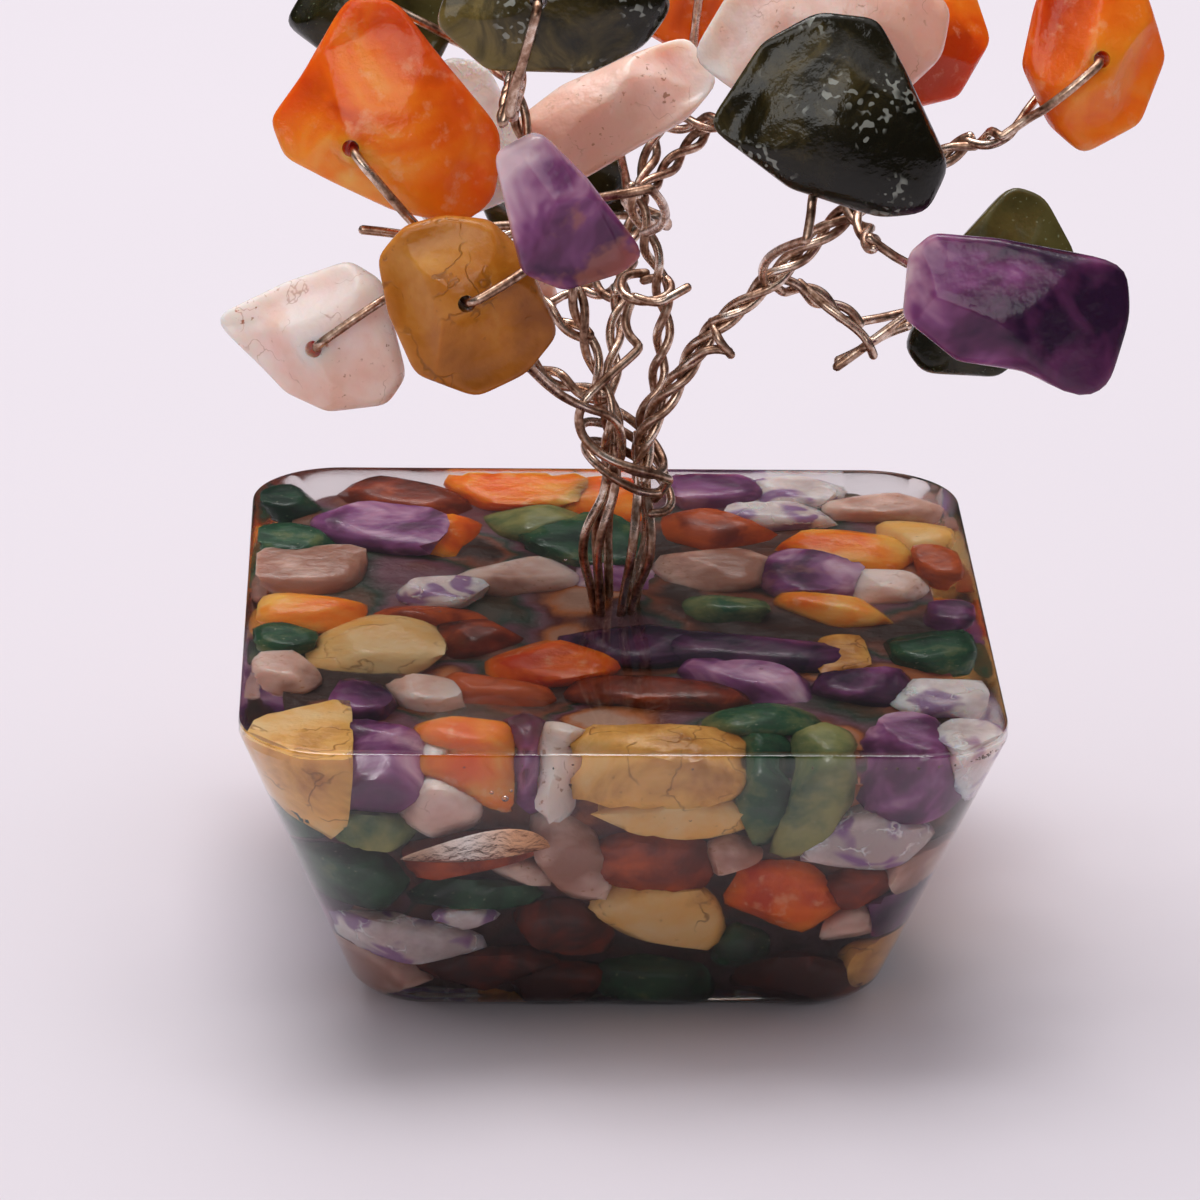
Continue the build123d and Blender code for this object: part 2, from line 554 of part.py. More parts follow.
def settled_stones(limits):
    """Stones drawn inside the bed, clear of the trunk, and not too near an earlier stone."""
    kept = []
    margin = seed_margin_share * bed_chip_pitch
    for kind, middle, shape in shown_stones() + filling_stones():
        for normal, reach in limits:
            middle = middle - normal * max(normal @ middle - reach + margin, 0)
        held = all(normal @ middle < reach - margin / 2 for normal, reach in limits)
        from_axis = math.hypot(middle[0], middle[1])
        in_trunk = middle[2] > trunk_foot - margin and from_axis < trunk_keep_out + margin
        shown = len(kept) < len(top_stones_shares) + len(front_stones_shares)
        spacing = min((np.linalg.norm(middle - other.middle) for other in kept), default=math.inf)
        if held and not in_trunk and spacing > (margin if shown else seed_spacing_share * bed_chip_pitch):
            kept.append(Stone(kind, middle, shape))
    return kept


def half_size(stone, normal):
    """How far a stone reaches from its middle along a direction."""
    return math.sqrt(normal @ stone.shape @ normal)


def stone_planes(stone, stones, limits, draw):
    """Flat limits of one cast stone: the bed, its neighbours, the trunk and its own worn facets."""
    planes = list(limits)
    for other in stones:
        gap = other.middle - stone.middle
        if other is not stone and np.linalg.norm(gap) < neighbour_reach_share * bed_chip_reach:
            normal = unit(np.linalg.solve(stone.shape + other.shape, gap))
            own, theirs = half_size(stone, normal), half_size(other, normal)
            middle_share = own / (own + theirs)
            planes.append((normal, normal @ (stone.middle + gap * middle_share) - bed_chip_gap / 2))
    from_axis = math.hypot(stone.middle[0], stone.middle[1])
    if stone.middle[2] > trunk_foot:
        planes.append((-unit((stone.middle[0], stone.middle[1], 0)), -trunk_keep_out))
    elif from_axis < trunk_keep_out + 2 * bed_chip_reach:
        planes.append((np.array((0, 0, 1.0)), trunk_foot))
    for facet in draw.normal(size=(worn_facets, 3)):
        normal = unit(facet)
        reach = half_size(stone, normal) * draw.uniform(*worn_reach_shares)
        planes.append((normal, normal @ stone.middle + reach))
    return planes


weld_share = 1e-7


def cut_stone(middle, planes):
    """The solid inside a set of flat limits."""
    halfspaces = np.array([(*normal, -reach) for normal, reach in planes])
    corners = HalfspaceIntersection(halfspaces, middle).intersections
    weld = bed_chip_gap * weld_share
    unique = []
    for corner in corners:
        if all(np.linalg.norm(corner - other) > weld for other in unique):
            unique.append(corner)
    corners = np.array(unique)
    loops = []
    for normal, reach in planes:
        on_plane = corners[np.abs(corners @ normal - reach) < weld]
        if len(on_plane) > 2:
            centre = on_plane.mean(axis=0)
            first = unit(on_plane[0] - centre)
            second = np.cross(normal, first)
            angles = np.arctan2((on_plane - centre) @ second, (on_plane - centre) @ first)
            loops.append(on_plane[np.argsort(angles)])
    return polyhedron(loops)


limits = bed_limits()
stones = settled_stones(limits)
facet_draw = np.random.default_rng(5)
bed = {kind: [] for kind in stone_kinds}
for stone in stones:
    bed[stone.kind].append(cut_stone(stone.middle, stone_planes(stone, stones, limits, facet_draw)))
for kind, solids in bed.items():
    save("embedded_" + stone_kinds[kind] + "_chips", solids)


# Resin block: cast round the bed of chips and the feet of the trunk strands

wall = loft(
    [
        Sketch() + RectangleRounded(foot_width, foot_width, foot_corner_radius),
        Sketch() + Pos(0, 0, wall_height) * RectangleRounded(block_width, block_width, rim_corner_radius),
    ],
    ruled=True,
)
wall = fillet(wall.faces().sort_by(Axis.Z)[0].edges(), foot_edge_radius)
rim_outline = RectangleRounded(block_width, block_width, rim_corner_radius)
band = Pos(0, 0, wall_height) * extrude(rim_outline, rim_height)
block = wall + band
resin = block - [solid for solids in bed.values() for solid in solids] - strands
save("resin_block", [largest(resin)])
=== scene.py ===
import json
import math
from collections import namedtuple

import bpy
import numpy as np
from mathutils import Matrix, Vector


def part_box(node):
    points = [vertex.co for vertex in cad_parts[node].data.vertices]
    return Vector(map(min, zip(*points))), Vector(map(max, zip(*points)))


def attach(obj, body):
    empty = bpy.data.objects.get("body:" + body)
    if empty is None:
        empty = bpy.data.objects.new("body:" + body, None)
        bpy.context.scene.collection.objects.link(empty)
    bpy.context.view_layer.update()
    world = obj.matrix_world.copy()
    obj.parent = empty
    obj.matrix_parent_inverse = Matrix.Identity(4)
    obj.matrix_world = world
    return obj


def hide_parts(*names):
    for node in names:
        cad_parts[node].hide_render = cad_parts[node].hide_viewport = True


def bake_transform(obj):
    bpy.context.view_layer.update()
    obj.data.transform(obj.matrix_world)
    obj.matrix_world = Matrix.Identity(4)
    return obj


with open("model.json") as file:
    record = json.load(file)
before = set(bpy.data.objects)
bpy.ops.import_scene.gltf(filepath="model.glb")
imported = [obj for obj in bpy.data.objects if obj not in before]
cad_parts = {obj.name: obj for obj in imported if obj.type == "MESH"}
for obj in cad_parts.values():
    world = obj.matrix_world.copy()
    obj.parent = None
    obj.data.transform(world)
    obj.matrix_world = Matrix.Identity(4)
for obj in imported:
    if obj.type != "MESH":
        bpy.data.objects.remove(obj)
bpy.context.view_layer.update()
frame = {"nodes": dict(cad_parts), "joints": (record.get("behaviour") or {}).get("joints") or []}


# Bed of cast stones: some hundred and fifty tumbled chips of seven kinds of stone, laid in the mould
# before the resin was poured. Each is worn round, and lies where its own solid lies in the block.

mm = 0.001
block_low, block_high = (np.array(corner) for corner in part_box("resin_block"))
block_top, half_rim, half_foot = block_high[2], block_high[0], 14 * mm
rim_base, rim_corner, foot_corner, foot_edge = block_top - 0.7 * mm, 5 * mm, 4 * mm, 1.5 * mm


class Shade:
    """One output of a node. A sum, product or power of it adds a Math node to its finish."""

    def __init__(self, finish, socket):
        self.finish = finish
        self.socket = socket

    def maths(self, operation, first, second):
        return self.finish.node("ShaderNodeMath", {"operation": operation}, {0: first, 1: second})

    def __add__(self, other):
        return self.maths("ADD", self, other)

    def __sub__(self, other):
        return self.maths("SUBTRACT", self, other)

    def __rsub__(self, other):
        return self.maths("SUBTRACT", other, self)

    def __mul__(self, other):
        return self.maths("MULTIPLY", self, other)

    def __pow__(self, other):
        return self.maths("POWER", self, other)

    __radd__ = __add__
    __rmul__ = __mul__


class Finish:
    """A material, or a world, whose nodes are added one call at a time, on the piece's own Object
    coordinates."""

    def __init__(self, name, library=bpy.data.materials):
        self.material = library.new(name)
        self.material.use_nodes = True
        self.tree = self.material.node_tree
        self.tree.nodes.clear()
        self.place = self.node("ShaderNodeTexCoord", out="Object")

    def node(self, kind, settings=None, sockets=None, out=0):
        """A node of any kind: its settings first, then the values or links of its sockets."""
        made = self.tree.nodes.new(kind)
        for key, value in (settings or {}).items():
            if key == "stops":
                elements = made.color_ramp.elements
                elements.remove(elements[1])
                elements[0].position = value[0][0]
                elements[0].color = (*value[0][1], 1)
                for position, colour in value[1:]:
                    elements.new(position).color = (*colour, 1)
            else:
                setattr(made, key, value)
        for key, value in (sockets or {}).items():
            if isinstance(value, Shade):
                self.tree.links.new(value.socket, made.inputs[key])
            else:
                made.inputs[key].default_value = value
        return Shade(self, made.outputs[out]) if made.outputs else None

    def noise(self, size, detail=3.0, rough=0.55, warp=0.0):
        """Cloudy noise with features of a size in metres, from 0 to 1."""
        sockets = {"Vector": self.place, "Scale": 1 / size, "Detail": detail, "Roughness": rough,
                   "Distortion": warp}
        return self.node("ShaderNodeTexNoise", None, sockets)

    def cracks(self, size):
        """Distance to the nearest edge between bent cells of a size in metres."""
        wobble = self.node("ShaderNodeTexNoise", None,
                           {"Vector": self.place, "Scale": 2 / size, "Detail": 3.0}, "Color")
        bent = self.node("ShaderNodeVectorMath", {"operation": "SCALE"}, {0: wobble, "Scale": size * 0.9})
        bent = self.node("ShaderNodeVectorMath", {"operation": "ADD"}, {0: bent, 1: self.place})
        return self.node("ShaderNodeTexVoronoi", {"feature": "DISTANCE_TO_EDGE"},
                         {"Vector": bent, "Scale": 1 / size})

    def between(self, value, low, high):
        """A smooth step from 0 at low to 1 at high."""
        settings = {"interpolation_type": "SMOOTHSTEP"}
        return self.node("ShaderNodeMapRange", settings, {"Value": value, "From Min": low, "From Max": high})

    def mix(self, share, first, second):
        """The second colour over the first, by a share."""
        first, second = [c if isinstance(c, Shade) else (*c, 1) for c in (first, second)]
        return self.node("ShaderNodeMix", {"data_type": "RGBA"}, {0: share, 6: first, 7: second}, 2)

    def ramp(self, value, *stops):
        """A colour that changes along a value."""
        return self.node("ShaderNodeValToRGB", {"stops": stops}, {"Fac": value})

    def mark(self, name):
        """A number that the piece's own mesh carries at each point."""
        return self.node("ShaderNodeAttribute", {"attribute_name": name}, out="Fac")

    def zones(self, size, detail, rough, warp):
        """Cloudy zones, moved by the tone of the whole stone and by a change from one end of it to the
        other."""
        return self.noise(size, detail, rough, warp) + self.mark("tone") * 0.22 + self.mark("zone") * 0.17

    def surface(self, colour, roughness, relief=None, depth=0.0, open_to=None, **constants):
        """The finished surface, with its relief in metres and its constants on the shader's own sockets. It
        is not there for rays that it is open to."""
        sockets = {"Base Color": colour if isinstance(colour, Shade) else (*colour, 1),
                   "Roughness": roughness}
        sockets |= {name.replace("_", " "): value for name, value in constants.items()}
        if relief is not None:
            sockets["Normal"] = self.node("ShaderNodeBump", None, {"Height": relief, "Distance": depth})
        shader = self.node("ShaderNodeBsdfPrincipled", None, sockets)
        if open_to is not None:
            nothing = self.node("ShaderNodeBsdfTransparent")
            shader = self.node("ShaderNodeMixShader", None, {0: open_to, 1: shader, 2: nothing})
        self.node("ShaderNodeOutputMaterial", None, {"Surface": shader})
        return self.material


def translucent(share, depth):
    """Constants of a polished stone: the share of light that goes in, and how deep it wanders, in
    millimetres."""
    return {"Subsurface_Weight": share, "Subsurface_Radius": (1.0, 0.5, 0.35), "Subsurface_Scale": depth * mm,
            "Specular_IOR_Level": 0.28, "IOR": 1.54}


def amethyst_finish(name, cast):
    """Purple quartz in zones, from nearly black plum through lilac to milky, with rust in its flaws."""
    f = Finish(name)
    colour = f.ramp(f.zones(4.0 * mm, 3.0, 0.55, 0.5), (0.24, (0.026, 0.007, 0.030)),
                    (0.40, (0.115, 0.026, 0.090)),
                    (0.52, (0.235, 0.068, 0.195)), (0.64, (0.46, 0.235, 0.36)), (0.78, (0.74, 0.56, 0.62)))
    rust = f.between(f.noise(2.2 * mm, 3.0, 0.6) - f.mark("zone") * 0.12, 0.54, 0.70)
    rust = rust * f.between(f.mark("tone"), 0.0, 0.2)
    colour = f.mix(rust * 0.6, colour, (0.40, 0.15, 0.10))
    return f.surface(colour, 0.20, f.noise(1.6 * mm), 0.10 * mm, **translucent(0.6, 1.6))


def carnelian_finish(name, cast):
    """Orange chalcedony: amber clouds, red zones, pale flaws, and a deeper red painted as shade at its thin
    edges.
    """
    f = Finish(name)
    colour = f.ramp(f.zones(5.0 * mm, 3.0, 0.55, 0.6), (0.24, (0.56, 0.050, 0.003)),
                    (0.42, (0.84, 0.145, 0.006)),
                    (0.56, (0.94, 0.255, 0.014)), (0.74, (0.97, 0.46, 0.10)))
    flaw = f.between(f.noise(1.4 * mm, 4.0, 0.6), 0.56, 0.72)
    colour = f.mix(flaw * 0.4, colour, (0.95, 0.56, 0.30))
    # Painted shade: the outer belt of the edge is mixed towards deep red
    colour = f.mix(f.mark("rim") ** 8 * 0.4, colour, (0.72, 0.075, 0.004))
    return f.surface(colour, 0.26, f.noise(1.1 * mm, 4.0), 0.14 * mm, **translucent(0.8, 2.2))


def rose_quartz_finish(name, cast):
    """Pale pink quartz, milky, peach where it is deep, with rusty specks in its pits and hair-fine flaws."""
    f = Finish(name)
    pale, body, deep = ((0.84, 0.66, 0.60), (0.68, 0.44, 0.36), (0.36, 0.17, 0.12)) if cast else (
        (0.90, 0.77, 0.73), (0.86, 0.62, 0.54), (0.78, 0.47, 0.37))
    colour = f.ramp(f.zones(4.0 * mm, 3.0, 0.55, 0.2), (0.30, deep), (0.50, body), (0.70, pale))
    speck = f.between(f.noise(0.40 * mm, 2.0), 0.62, 0.70) * f.between(f.noise(2.6 * mm), 0.46, 0.60)
    hair = f.between(f.cracks(3.2 * mm), 0.018, 0.0) * f.between(f.noise(2.0 * mm), 0.48, 0.62)
    colour = f.mix(speck * 0.75 + hair * 0.45, colour, (0.36, 0.16, 0.08))
    return f.surface(colour, 0.24, f.noise(1.2 * mm, 3.0), 0.15 * mm, **translucent(0.8, 2.6))


def green_aventurine_finish(name, cast):
    """Green quartz with darker clouds and fine bright scales, olive where it is not under resin."""
    f = Finish(name)
    dark, body, pale = ((0.005, 0.022, 0.012), (0.022, 0.085, 0.038), (0.27, 0.26, 0.09)) if cast else (
        (0.009, 0.008, 0.002), (0.034, 0.028, 0.006), (0.10, 0.085, 0.024))
    colour = f.ramp(f.zones(3.6 * mm, 4.0, 0.6, 0.2), (0.28, dark), (0.50, body), (0.78, pale))
    scale = f.between(f.noise(0.25 * mm, 1.0), 0.68, 0.80)
    colour = f.mix(scale * 0.5, colour, (0.30, 0.34, 0.20))
    return f.surface(colour, 0.22, f.noise(0.9 * mm), 0.06 * mm, **translucent(0.25, 0.6))


def yellow_jasper_finish(name, cast):
    """Ochre jasper, beige to orange, with thin brown veins where cracks have healed."""
    f = Finish(name)
    dark, body, pale = ((0.44, 0.17, 0.028), (0.80, 0.42, 0.105), (0.80, 0.56, 0.27)) if cast else (
        (0.28, 0.080, 0.006), (0.48, 0.160, 0.013), (0.68, 0.32, 0.065))
    colour = f.ramp(f.zones(4.5 * mm, 4.0, 0.6, 0.3), (0.28, dark), (0.50, body), (0.76, pale))
    vein = f.between(f.cracks(5.2 * mm), 0.022, 0.0) * f.between(f.noise(2.4 * mm), 0.42, 0.60)
    speck = f.between(f.noise(0.5 * mm, 2.0), 0.68, 0.76)
    colour = f.mix(vein * 0.6 + speck * 0.3, colour, (0.16, 0.055, 0.008))
    return f.surface(colour, 0.27, f.noise(0.9 * mm) - vein * 0.4, 0.08 * mm, **translucent(0.4, 0.8))


def red_jasper_finish(name, cast):
    """Brick-red jasper with nearly black patches."""
    f = Finish(name)
    colour = f.ramp(f.zones(3.2 * mm, 4.0, 0.6, 0.5), (0.28, (0.045, 0.008, 0.003)),
                    (0.50, (0.20, 0.026, 0.008)),
                    (0.74, (0.50, 0.085, 0.016)))
    return f.surface(colour, 0.26, f.noise(0.9 * mm), 0.06 * mm, **translucent(0.2, 0.4))


def clear_quartz_finish(name, cast):
    """Nearly colourless quartz with milky veils, violet patches and white fractures that sparkle."""
    f = Finish(name)
    colour = f.ramp(f.zones(3.0 * mm, 4.0, 0.6, 0.2), (0.32, (0.50, 0.40, 0.38)), (0.52, (0.72, 0.62, 0.60)),
                    (0.72, (0.90, 0.84, 0.82)))
    violet = f.between(f.noise(3.4 * mm, 2.0, 0.5, 0.8), 0.50, 0.60)
    colour = f.mix(violet * (0.8 if cast else 0.0), colour, (0.22, 0.080, 0.27))
    fracture = f.between(f.cracks(2.4 * mm), 0.07, 0.0) * f.between(f.noise(1.5 * mm), 0.45, 0.60)
    colour = f.mix(fracture * 0.8, colour, (0.96, 0.93, 0.92))
    return f.surface(colour, 0.16, f.noise(1.0 * mm) + fracture, 0.12 * mm, **translucent(0.8, 2.4))


stone_finishes = {
    "amethyst": amethyst_finish, "carnelian": carnelian_finish, "rose_quartz": rose_quartz_finish,
    "green_aventurine": green_aventurine_finish, "yellow_jasper": yellow_jasper_finish,
    "red_jasper": red_jasper_finish, "clear_quartz": clear_quartz_finish,
}

# Stones that stand out in the bed: kind, place in millimetres, and tone from -1, dark, to 1, pale
toned_stones = (
    ("rose_quartz", (-16.3, 5.2, 14.7), -1.0), ("rose_quartz", (5.5, 6.5, 15.4), -0.6),
    ("amethyst", (1.2, -4.4, 15.2), -1.0), ("amethyst", (7.2, -5.4, 15.2), -0.85),
    ("amethyst", (18.6, -0.6, 15.2), -0.4),
    ("amethyst", (13.0, -9.4, 15.2), -0.5), ("amethyst", (-5.2, -15.6, 15.2), -0.5),
    ("amethyst", (-13.6, -12.2, 15.2), -0.6),
    ("amethyst", (-13.2, 12.0, 15.2), 0.0), ("amethyst", (18.0, -13.0, 6.7), -0.1),
    ("yellow_jasper", (-12.4, -4.0, 15.2), 0.8), ("yellow_jasper", (-16.3, -17.0, 15.2), 0.1),
    ("yellow_jasper", (2.0, -17.0, 15.2), -0.4), ("yellow_jasper", (11.7, -5.7, 15.4), -1.0),
    ("yellow_jasper", (2.9, -16.5, 14.0), 0.5),
    ("yellow_jasper", (2.0, -13.9, 6.7), 0.35),
    ("green_aventurine", (-16.7, -15.9, 12.3), -0.5), ("green_aventurine", (-13.0, -16.1, 12.8), 0.95),
    ("green_aventurine", (9.7, -16.5, 14.0), 0.95), ("green_aventurine", (-3.8, 12.8, 15.2), 0.7),
    ("green_aventurine", (7.0, -16.5, 14.0), -0.1),
    ("red_jasper", (1.4, -15.3, 10.7), 0.35), ("red_jasper", (-7.6, -3.4, 15.2), -0.2),
    ("red_jasper", (2.0, -10.6, 15.2), -0.3),
    ("carnelian", (13.4, 9.0, 15.2), 0.2), ("carnelian", (8.6, -14.5, 8.4), -0.5),
    ("carnelian", (-3.6, -7.2, 15.2), -0.6),
)


def unit(vectors):
    """Vectors of length one in the same directions."""
    vectors = np.asarray(vectors, float)
    return vectors / np.linalg.norm(vectors, axis=-1, keepdims=True)


def add_piece(name, points, faces, material, slot, stood_for=(), crease=60, **marks):
    """A mesh object at the origin, smooth but for edges sharper than the crease in degrees, with its
    marks."""
    mesh = bpy.data.meshes.new(name)
    mesh.from_pydata(np.asarray(points).reshape(-1, 3).tolist(), [], [list(face) for face in faces])
    for mark, values in marks.items():
        attribute = mesh.attributes.new(mark, "FLOAT", "POINT")
        attribute.data.foreach_set("value", np.ravel(values).astype(np.float32))
    mesh.validate()
    mesh.shade_smooth()
    mesh.set_sharp_from_angle(angle=math.radians(crease))
    mesh.materials.append(material)
    piece = bpy.data.objects.new(name, mesh)
    bpy.context.scene.collection.objects.link(piece)
    if stood_for:
        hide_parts(*stood_for)
    return piece


def grid_faces(rows, columns, rows_close, start=0):
    """Four-sided faces of a grid whose columns close on themselves, and its rows too if asked."""
    last = rows if rows_close else rows - 1
    row, column = np.meshgrid(np.arange(last), np.arange(columns), indexing="ij")
    below, beside = (row + 1) % rows, (column + 1) % columns
    corners = (row * columns + column, row * columns + beside, below * columns + beside,
               below * columns + column)
    return np.stack(corners, -1).reshape(-1, 4) + start


def globe_ways(rows, columns):
    """Directions on a grid round the poles, which come last."""
    polar = np.linspace(0, math.pi, rows + 2)[1:-1, None]
    turn = np.linspace(0, 2 * math.pi, columns, endpoint=False)[None]
    ways = np.stack((np.sin(polar) * np.cos(turn), np.sin(polar) * np.sin(turn), np.cos(polar) + 0 * turn),
                    -1)
    return np.concatenate((ways.reshape(-1, 3), ((0, 0, 1), (0, 0, -1))))


def globe_faces(rows, columns, start):
    """Faces of a grid round the poles, which are its last two points."""
    ring = np.arange(columns)
    beside = (ring + 1) % columns
    top, foot, last = rows * columns, rows * columns + 1, (rows - 1) * columns
    caps = np.concatenate((np.stack((ring * 0 + top, ring, beside), 1),
                           np.stack((ring * 0 + foot, last + beside, last + ring), 1)))
    body = grid_faces(rows, columns, False)[:, ::-1]
    return (caps + start).tolist() + (body + start).tolist()


def node_mesh(node):
    """Merged corners and triangles of a CAD node."""
    mesh = frame["nodes"][node].data
    place = np.empty(len(mesh.vertices) * 3, np.float32)
    mesh.vertices.foreach_get("co", place)
    mesh.calc_loop_triangles()
    triangles = np.empty(len(mesh.loop_triangles) * 3, np.int32)
    mesh.loop_triangles.foreach_get("vertices", triangles)
    weld = 1e-6
    _, first, index = np.unique(np.round(place.reshape(-1, 3) / weld).astype(np.int64), axis=0,
                                return_index=True,
                                   return_inverse=True)
    return place.reshape(-1, 3)[first].astype(float), index.ravel()[triangles].reshape(-1, 3)


def separate_solids(corners, triangles):
    """Triangles of each separate solid: corners that share a triangle take its lowest label until none
    changes."""
    label = np.arange(len(corners))
    while True:
        spread = label.copy()
        for side in range(3):
            np.minimum.at(spread, triangles[:, side], label[triangles].min(1))
        if (spread == label).all():
            break
        label = spread
    owner = label[triangles[:, 0]]
    return [triangles[owner == solid] for solid in np.unique(owner)]


def inside_block(points, skin):
    """Points drawn in to lie a skin inside the walls, the rounded corners, the foot and the top of the
    block."""
    up = np.clip(points[..., 2], skin, block_top - skin)
    wall = half_foot + (half_rim - half_foot) * np.clip(up / rim_base, 0, 1) - skin
    across, along = (np.clip(points[..., axis], -wall, wall) for axis in (0, 1))
    corner_reach = math.sqrt(2) * (wall - rim_corner) + rim_corner
    shrink = np.minimum(1, corner_reach * math.sqrt(2) / np.maximum(np.abs(across) + np.abs(along), 1e-9))
    return np.stack((across * shrink, along * shrink, up), -1)


def worn_stone(corners, triangles, ways, stretches, draw):
    """A flat-sided solid worn round: in each direction the surface lies where the p-norm of the reaches of
    all its sides is one, which rounds each edge, and low sine waves of the direction dent it a little. The
    stone is grown to press on its neighbours, and stays inside the block."""
    middle = corners[np.unique(triangles)].mean(0)
    stretch = next((along for place, along in stretches if np.linalg.norm(middle - place) < 2.2 * mm), 1.0)
    first, second, third = (corners[triangles[:, side]] - middle for side in range(3))
    normals = np.cross(second - first, third - first)
    sized = np.linalg.norm(normals, axis=1) > 1e-12
    normals = unit(normals[sized])
    reaches = (normals * first[sized]).sum(1)
    keys, keep = np.unique(np.round(np.column_stack((normals, reaches / mm)), 2), axis=0, return_index=True)
    normals, reaches = normals[keep], np.maximum(reaches[keep], 0.2 * mm)
    sharpness = 22
    out = (np.clip(ways @ normals.T / reaches, 0, None) ** sharpness).sum(1) ** (-1 / sharpness)
    waves, phases = draw.normal(0, 2.6, (5, 3)), draw.uniform(0, 2 * math.pi, 5)
    dents = 0.5 + 0.5 * np.sin(ways @ waves.T + phases).mean(1)
    grown = 1.20
    return middle, inside_block(middle + stretch * ways * (grown * out * (1 - 0.05 * dents))[:, None],
                                0.45 * mm)


bed_rows, bed_columns = 15, 24
bed_ways = globe_ways(bed_rows, bed_columns)
bed_draw = np.random.default_rng(21)
# Stones drawn longer or smaller than their solids: place in millimetres, and growth along each axis
long_stones = [(np.array(place) * mm, np.array(along)) for place, along in (
    ((-16.3, -17.0, 15.2), (1.05, 1.9, 1.1)), ((1.2, -4.1, 15.1), (1.3, 1.0, 1.0)),
    ((6.6, -5.3, 15.5), (1.5, 1.0, 1.0)), ((-12.6, -4.2, 15.4), (1.0, 1.3, 1.0)),
    ((11.7, -5.7, 15.4), (0.5, 0.8, 0.6)))]
for kind, finish in stone_finishes.items():
    node = f"embedded_{kind}_chips"
    corners, triangles = node_mesh(node)
    chosen = [(np.array(place) * mm, tone) for other, place, tone in toned_stones if other == kind]
    points, faces, tones = [], [], []
    for solid in separate_solids(corners, triangles):
        middle, surface = worn_stone(corners, solid, bed_ways, long_stones, bed_draw)
        # Tone falls with height, so lower stones are darker: partly their own darker colours, partly painted
        # shade towards the foot
        tone = np.clip(bed_draw.normal(0, 0.35) + (middle[2] - 12.5 * mm) / (9 * mm), -1, 0.8)
        near = [(np.linalg.norm(middle - place), value) for place, value in chosen]
        if near and min(near)[0] < 2.2 * mm:
            tone = min(near)[1]
        faces += globe_faces(bed_rows, bed_columns, len(points) * len(bed_ways))
        points.append(surface)
        tones.append(np.full(len(bed_ways), tone))
    stones = add_piece(f"cast_{kind}_stones", np.concatenate(points), faces, finish(f"cast_{kind}", True),
                       kind, (node,),
                       tone=np.concatenate(tones))
    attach(stones, "base")


# Fines: small chips and grit that lie between and behind the larger stones, so that no light comes
# through the middle of the bed. They stop short of the walls and the top, and heap round the trunk.

trunk_place = np.array((0.5, 0.0)) * mm


def fines_finish(name):
    """Grit in cells of brown, mauve, green, red and pale stone. Its dark cells stand partly for deeper
    stones and partly for painted shade between them, and painted shade darkens it towards the foot.
    """
    f = Finish(name)
    bent = f.node("ShaderNodeTexNoise", None, {"Vector": f.place, "Scale": 1 / (2.0 * mm), "Detail": 3.0},
                  "Color")
    bent = f.node("ShaderNodeVectorMath", {"operation": "SCALE"}, {0: bent, "Scale": 1.8 * mm})
    bent = f.node("ShaderNodeVectorMath", {"operation": "ADD"}, {0: bent, 1: f.place})
    cell = f.node("ShaderNodeTexVoronoi", {"feature": "SMOOTH_F1"}, {"Vector": bent, "Scale": 1 / (4.2 * mm)},
                  "Color")
    pick = f.node("ShaderNodeSeparateColor", None, {0: cell})
    # Dark cells: partly the colours of deeper stones, partly painted shade between the stones
    colour = f.ramp(pick, (0.15, (0.030, 0.010, 0.006)), (0.30, (0.15, 0.036, 0.014)),
                    (0.42, (0.012, 0.026, 0.013)),
                    (0.54, (0.12, 0.042, 0.060)), (0.66, (0.10, 0.014, 0.006)), (0.78, (0.38, 0.11, 0.026)),
                    (0.92, (0.40, 0.23, 0.16)))
    height = f.node("ShaderNodeSeparateXYZ", None, {0: f.place}, "Z")
    # Painted shade: below 14 mm the grit is mixed towards nearly black brown, most at the foot
    colour = f.mix(f.between(height, 14.0 * mm, 3.0 * mm) * 0.9, colour, (0.016, 0.006, 0.003))
    return f.surface(colour, 0.45, f.noise(1.2 * mm, 3.0), 0.25 * mm, Specular_IOR_Level=0.2)


def rounded_square(half, corner, columns):
    """Rings of a square with round corners, one for each half width: along each quarter the first and the
    last part run straight and the middle part goes round the corner."""
    turn = np.arange(columns) * 4 / columns
    share, quarter = turn % 1, np.floor(turn) * math.pi / 2
    straight = 0.25
    bend = np.clip((share - straight) / (1 - 2 * straight), 0, 1) * math.pi / 2
    half, corner = half[:, None], corner[:, None]
    across = (half - corner) * np.minimum((1 - share) / straight, 1) + corner * np.cos(bend)
    along = (half - corner) * np.minimum(share / straight, 1) + corner * np.sin(bend)
    first = across * np.cos(quarter) - along * np.sin(quarter)
    return np.stack((first, across * np.sin(quarter) + along * np.cos(quarter)), -1)


def fines_heap(rows, columns, draw):
    """A rounded square that widens with the walls and closes over the top, which rises to the trunk as a bell
    curve, with its whole skin pushed in and out by sine waves."""
    inset, foot_rise, top_rise = 1.9 * mm, 1.0 * mm, 15.4 * mm
    climb, level = np.linspace(0, 1, rows), np.linspace(1, 0.02, rows)[1:]
    rise = np.concatenate((np.full(rows - 1, foot_rise), foot_rise + climb * (top_rise - foot_rise),
                           np.full(rows - 1, top_rise)))
    wall = half_foot + (half_rim - half_foot) * rise / rim_base - inset
    half = wall * np.concatenate((level[::-1], np.ones(rows), level))
    ring = rounded_square(half, np.minimum(half * 0.4, 4 * mm), columns)
    skin = np.concatenate((ring, np.broadcast_to(rise[:, None, None], (*ring.shape[:2], 1))), -1)
    waves, phases = draw.normal(0, 1.1 / mm, (7, 3)), draw.uniform(0, 2 * math.pi, 7)
    swell = 0.9 * mm * np.sin(skin @ waves.T + phases).mean(-1, keepdims=True)
    skin = skin + swell * unit(skin - (0, 0, 9 * mm))
    near_trunk = np.exp(-(np.linalg.norm(skin[..., :2] - trunk_place, axis=-1) / (3.0 * mm)) ** 2)
    skin[..., 2] += np.where(skin[..., 2] > 13 * mm, 1.6 * mm * near_trunk, 0)
    return skin


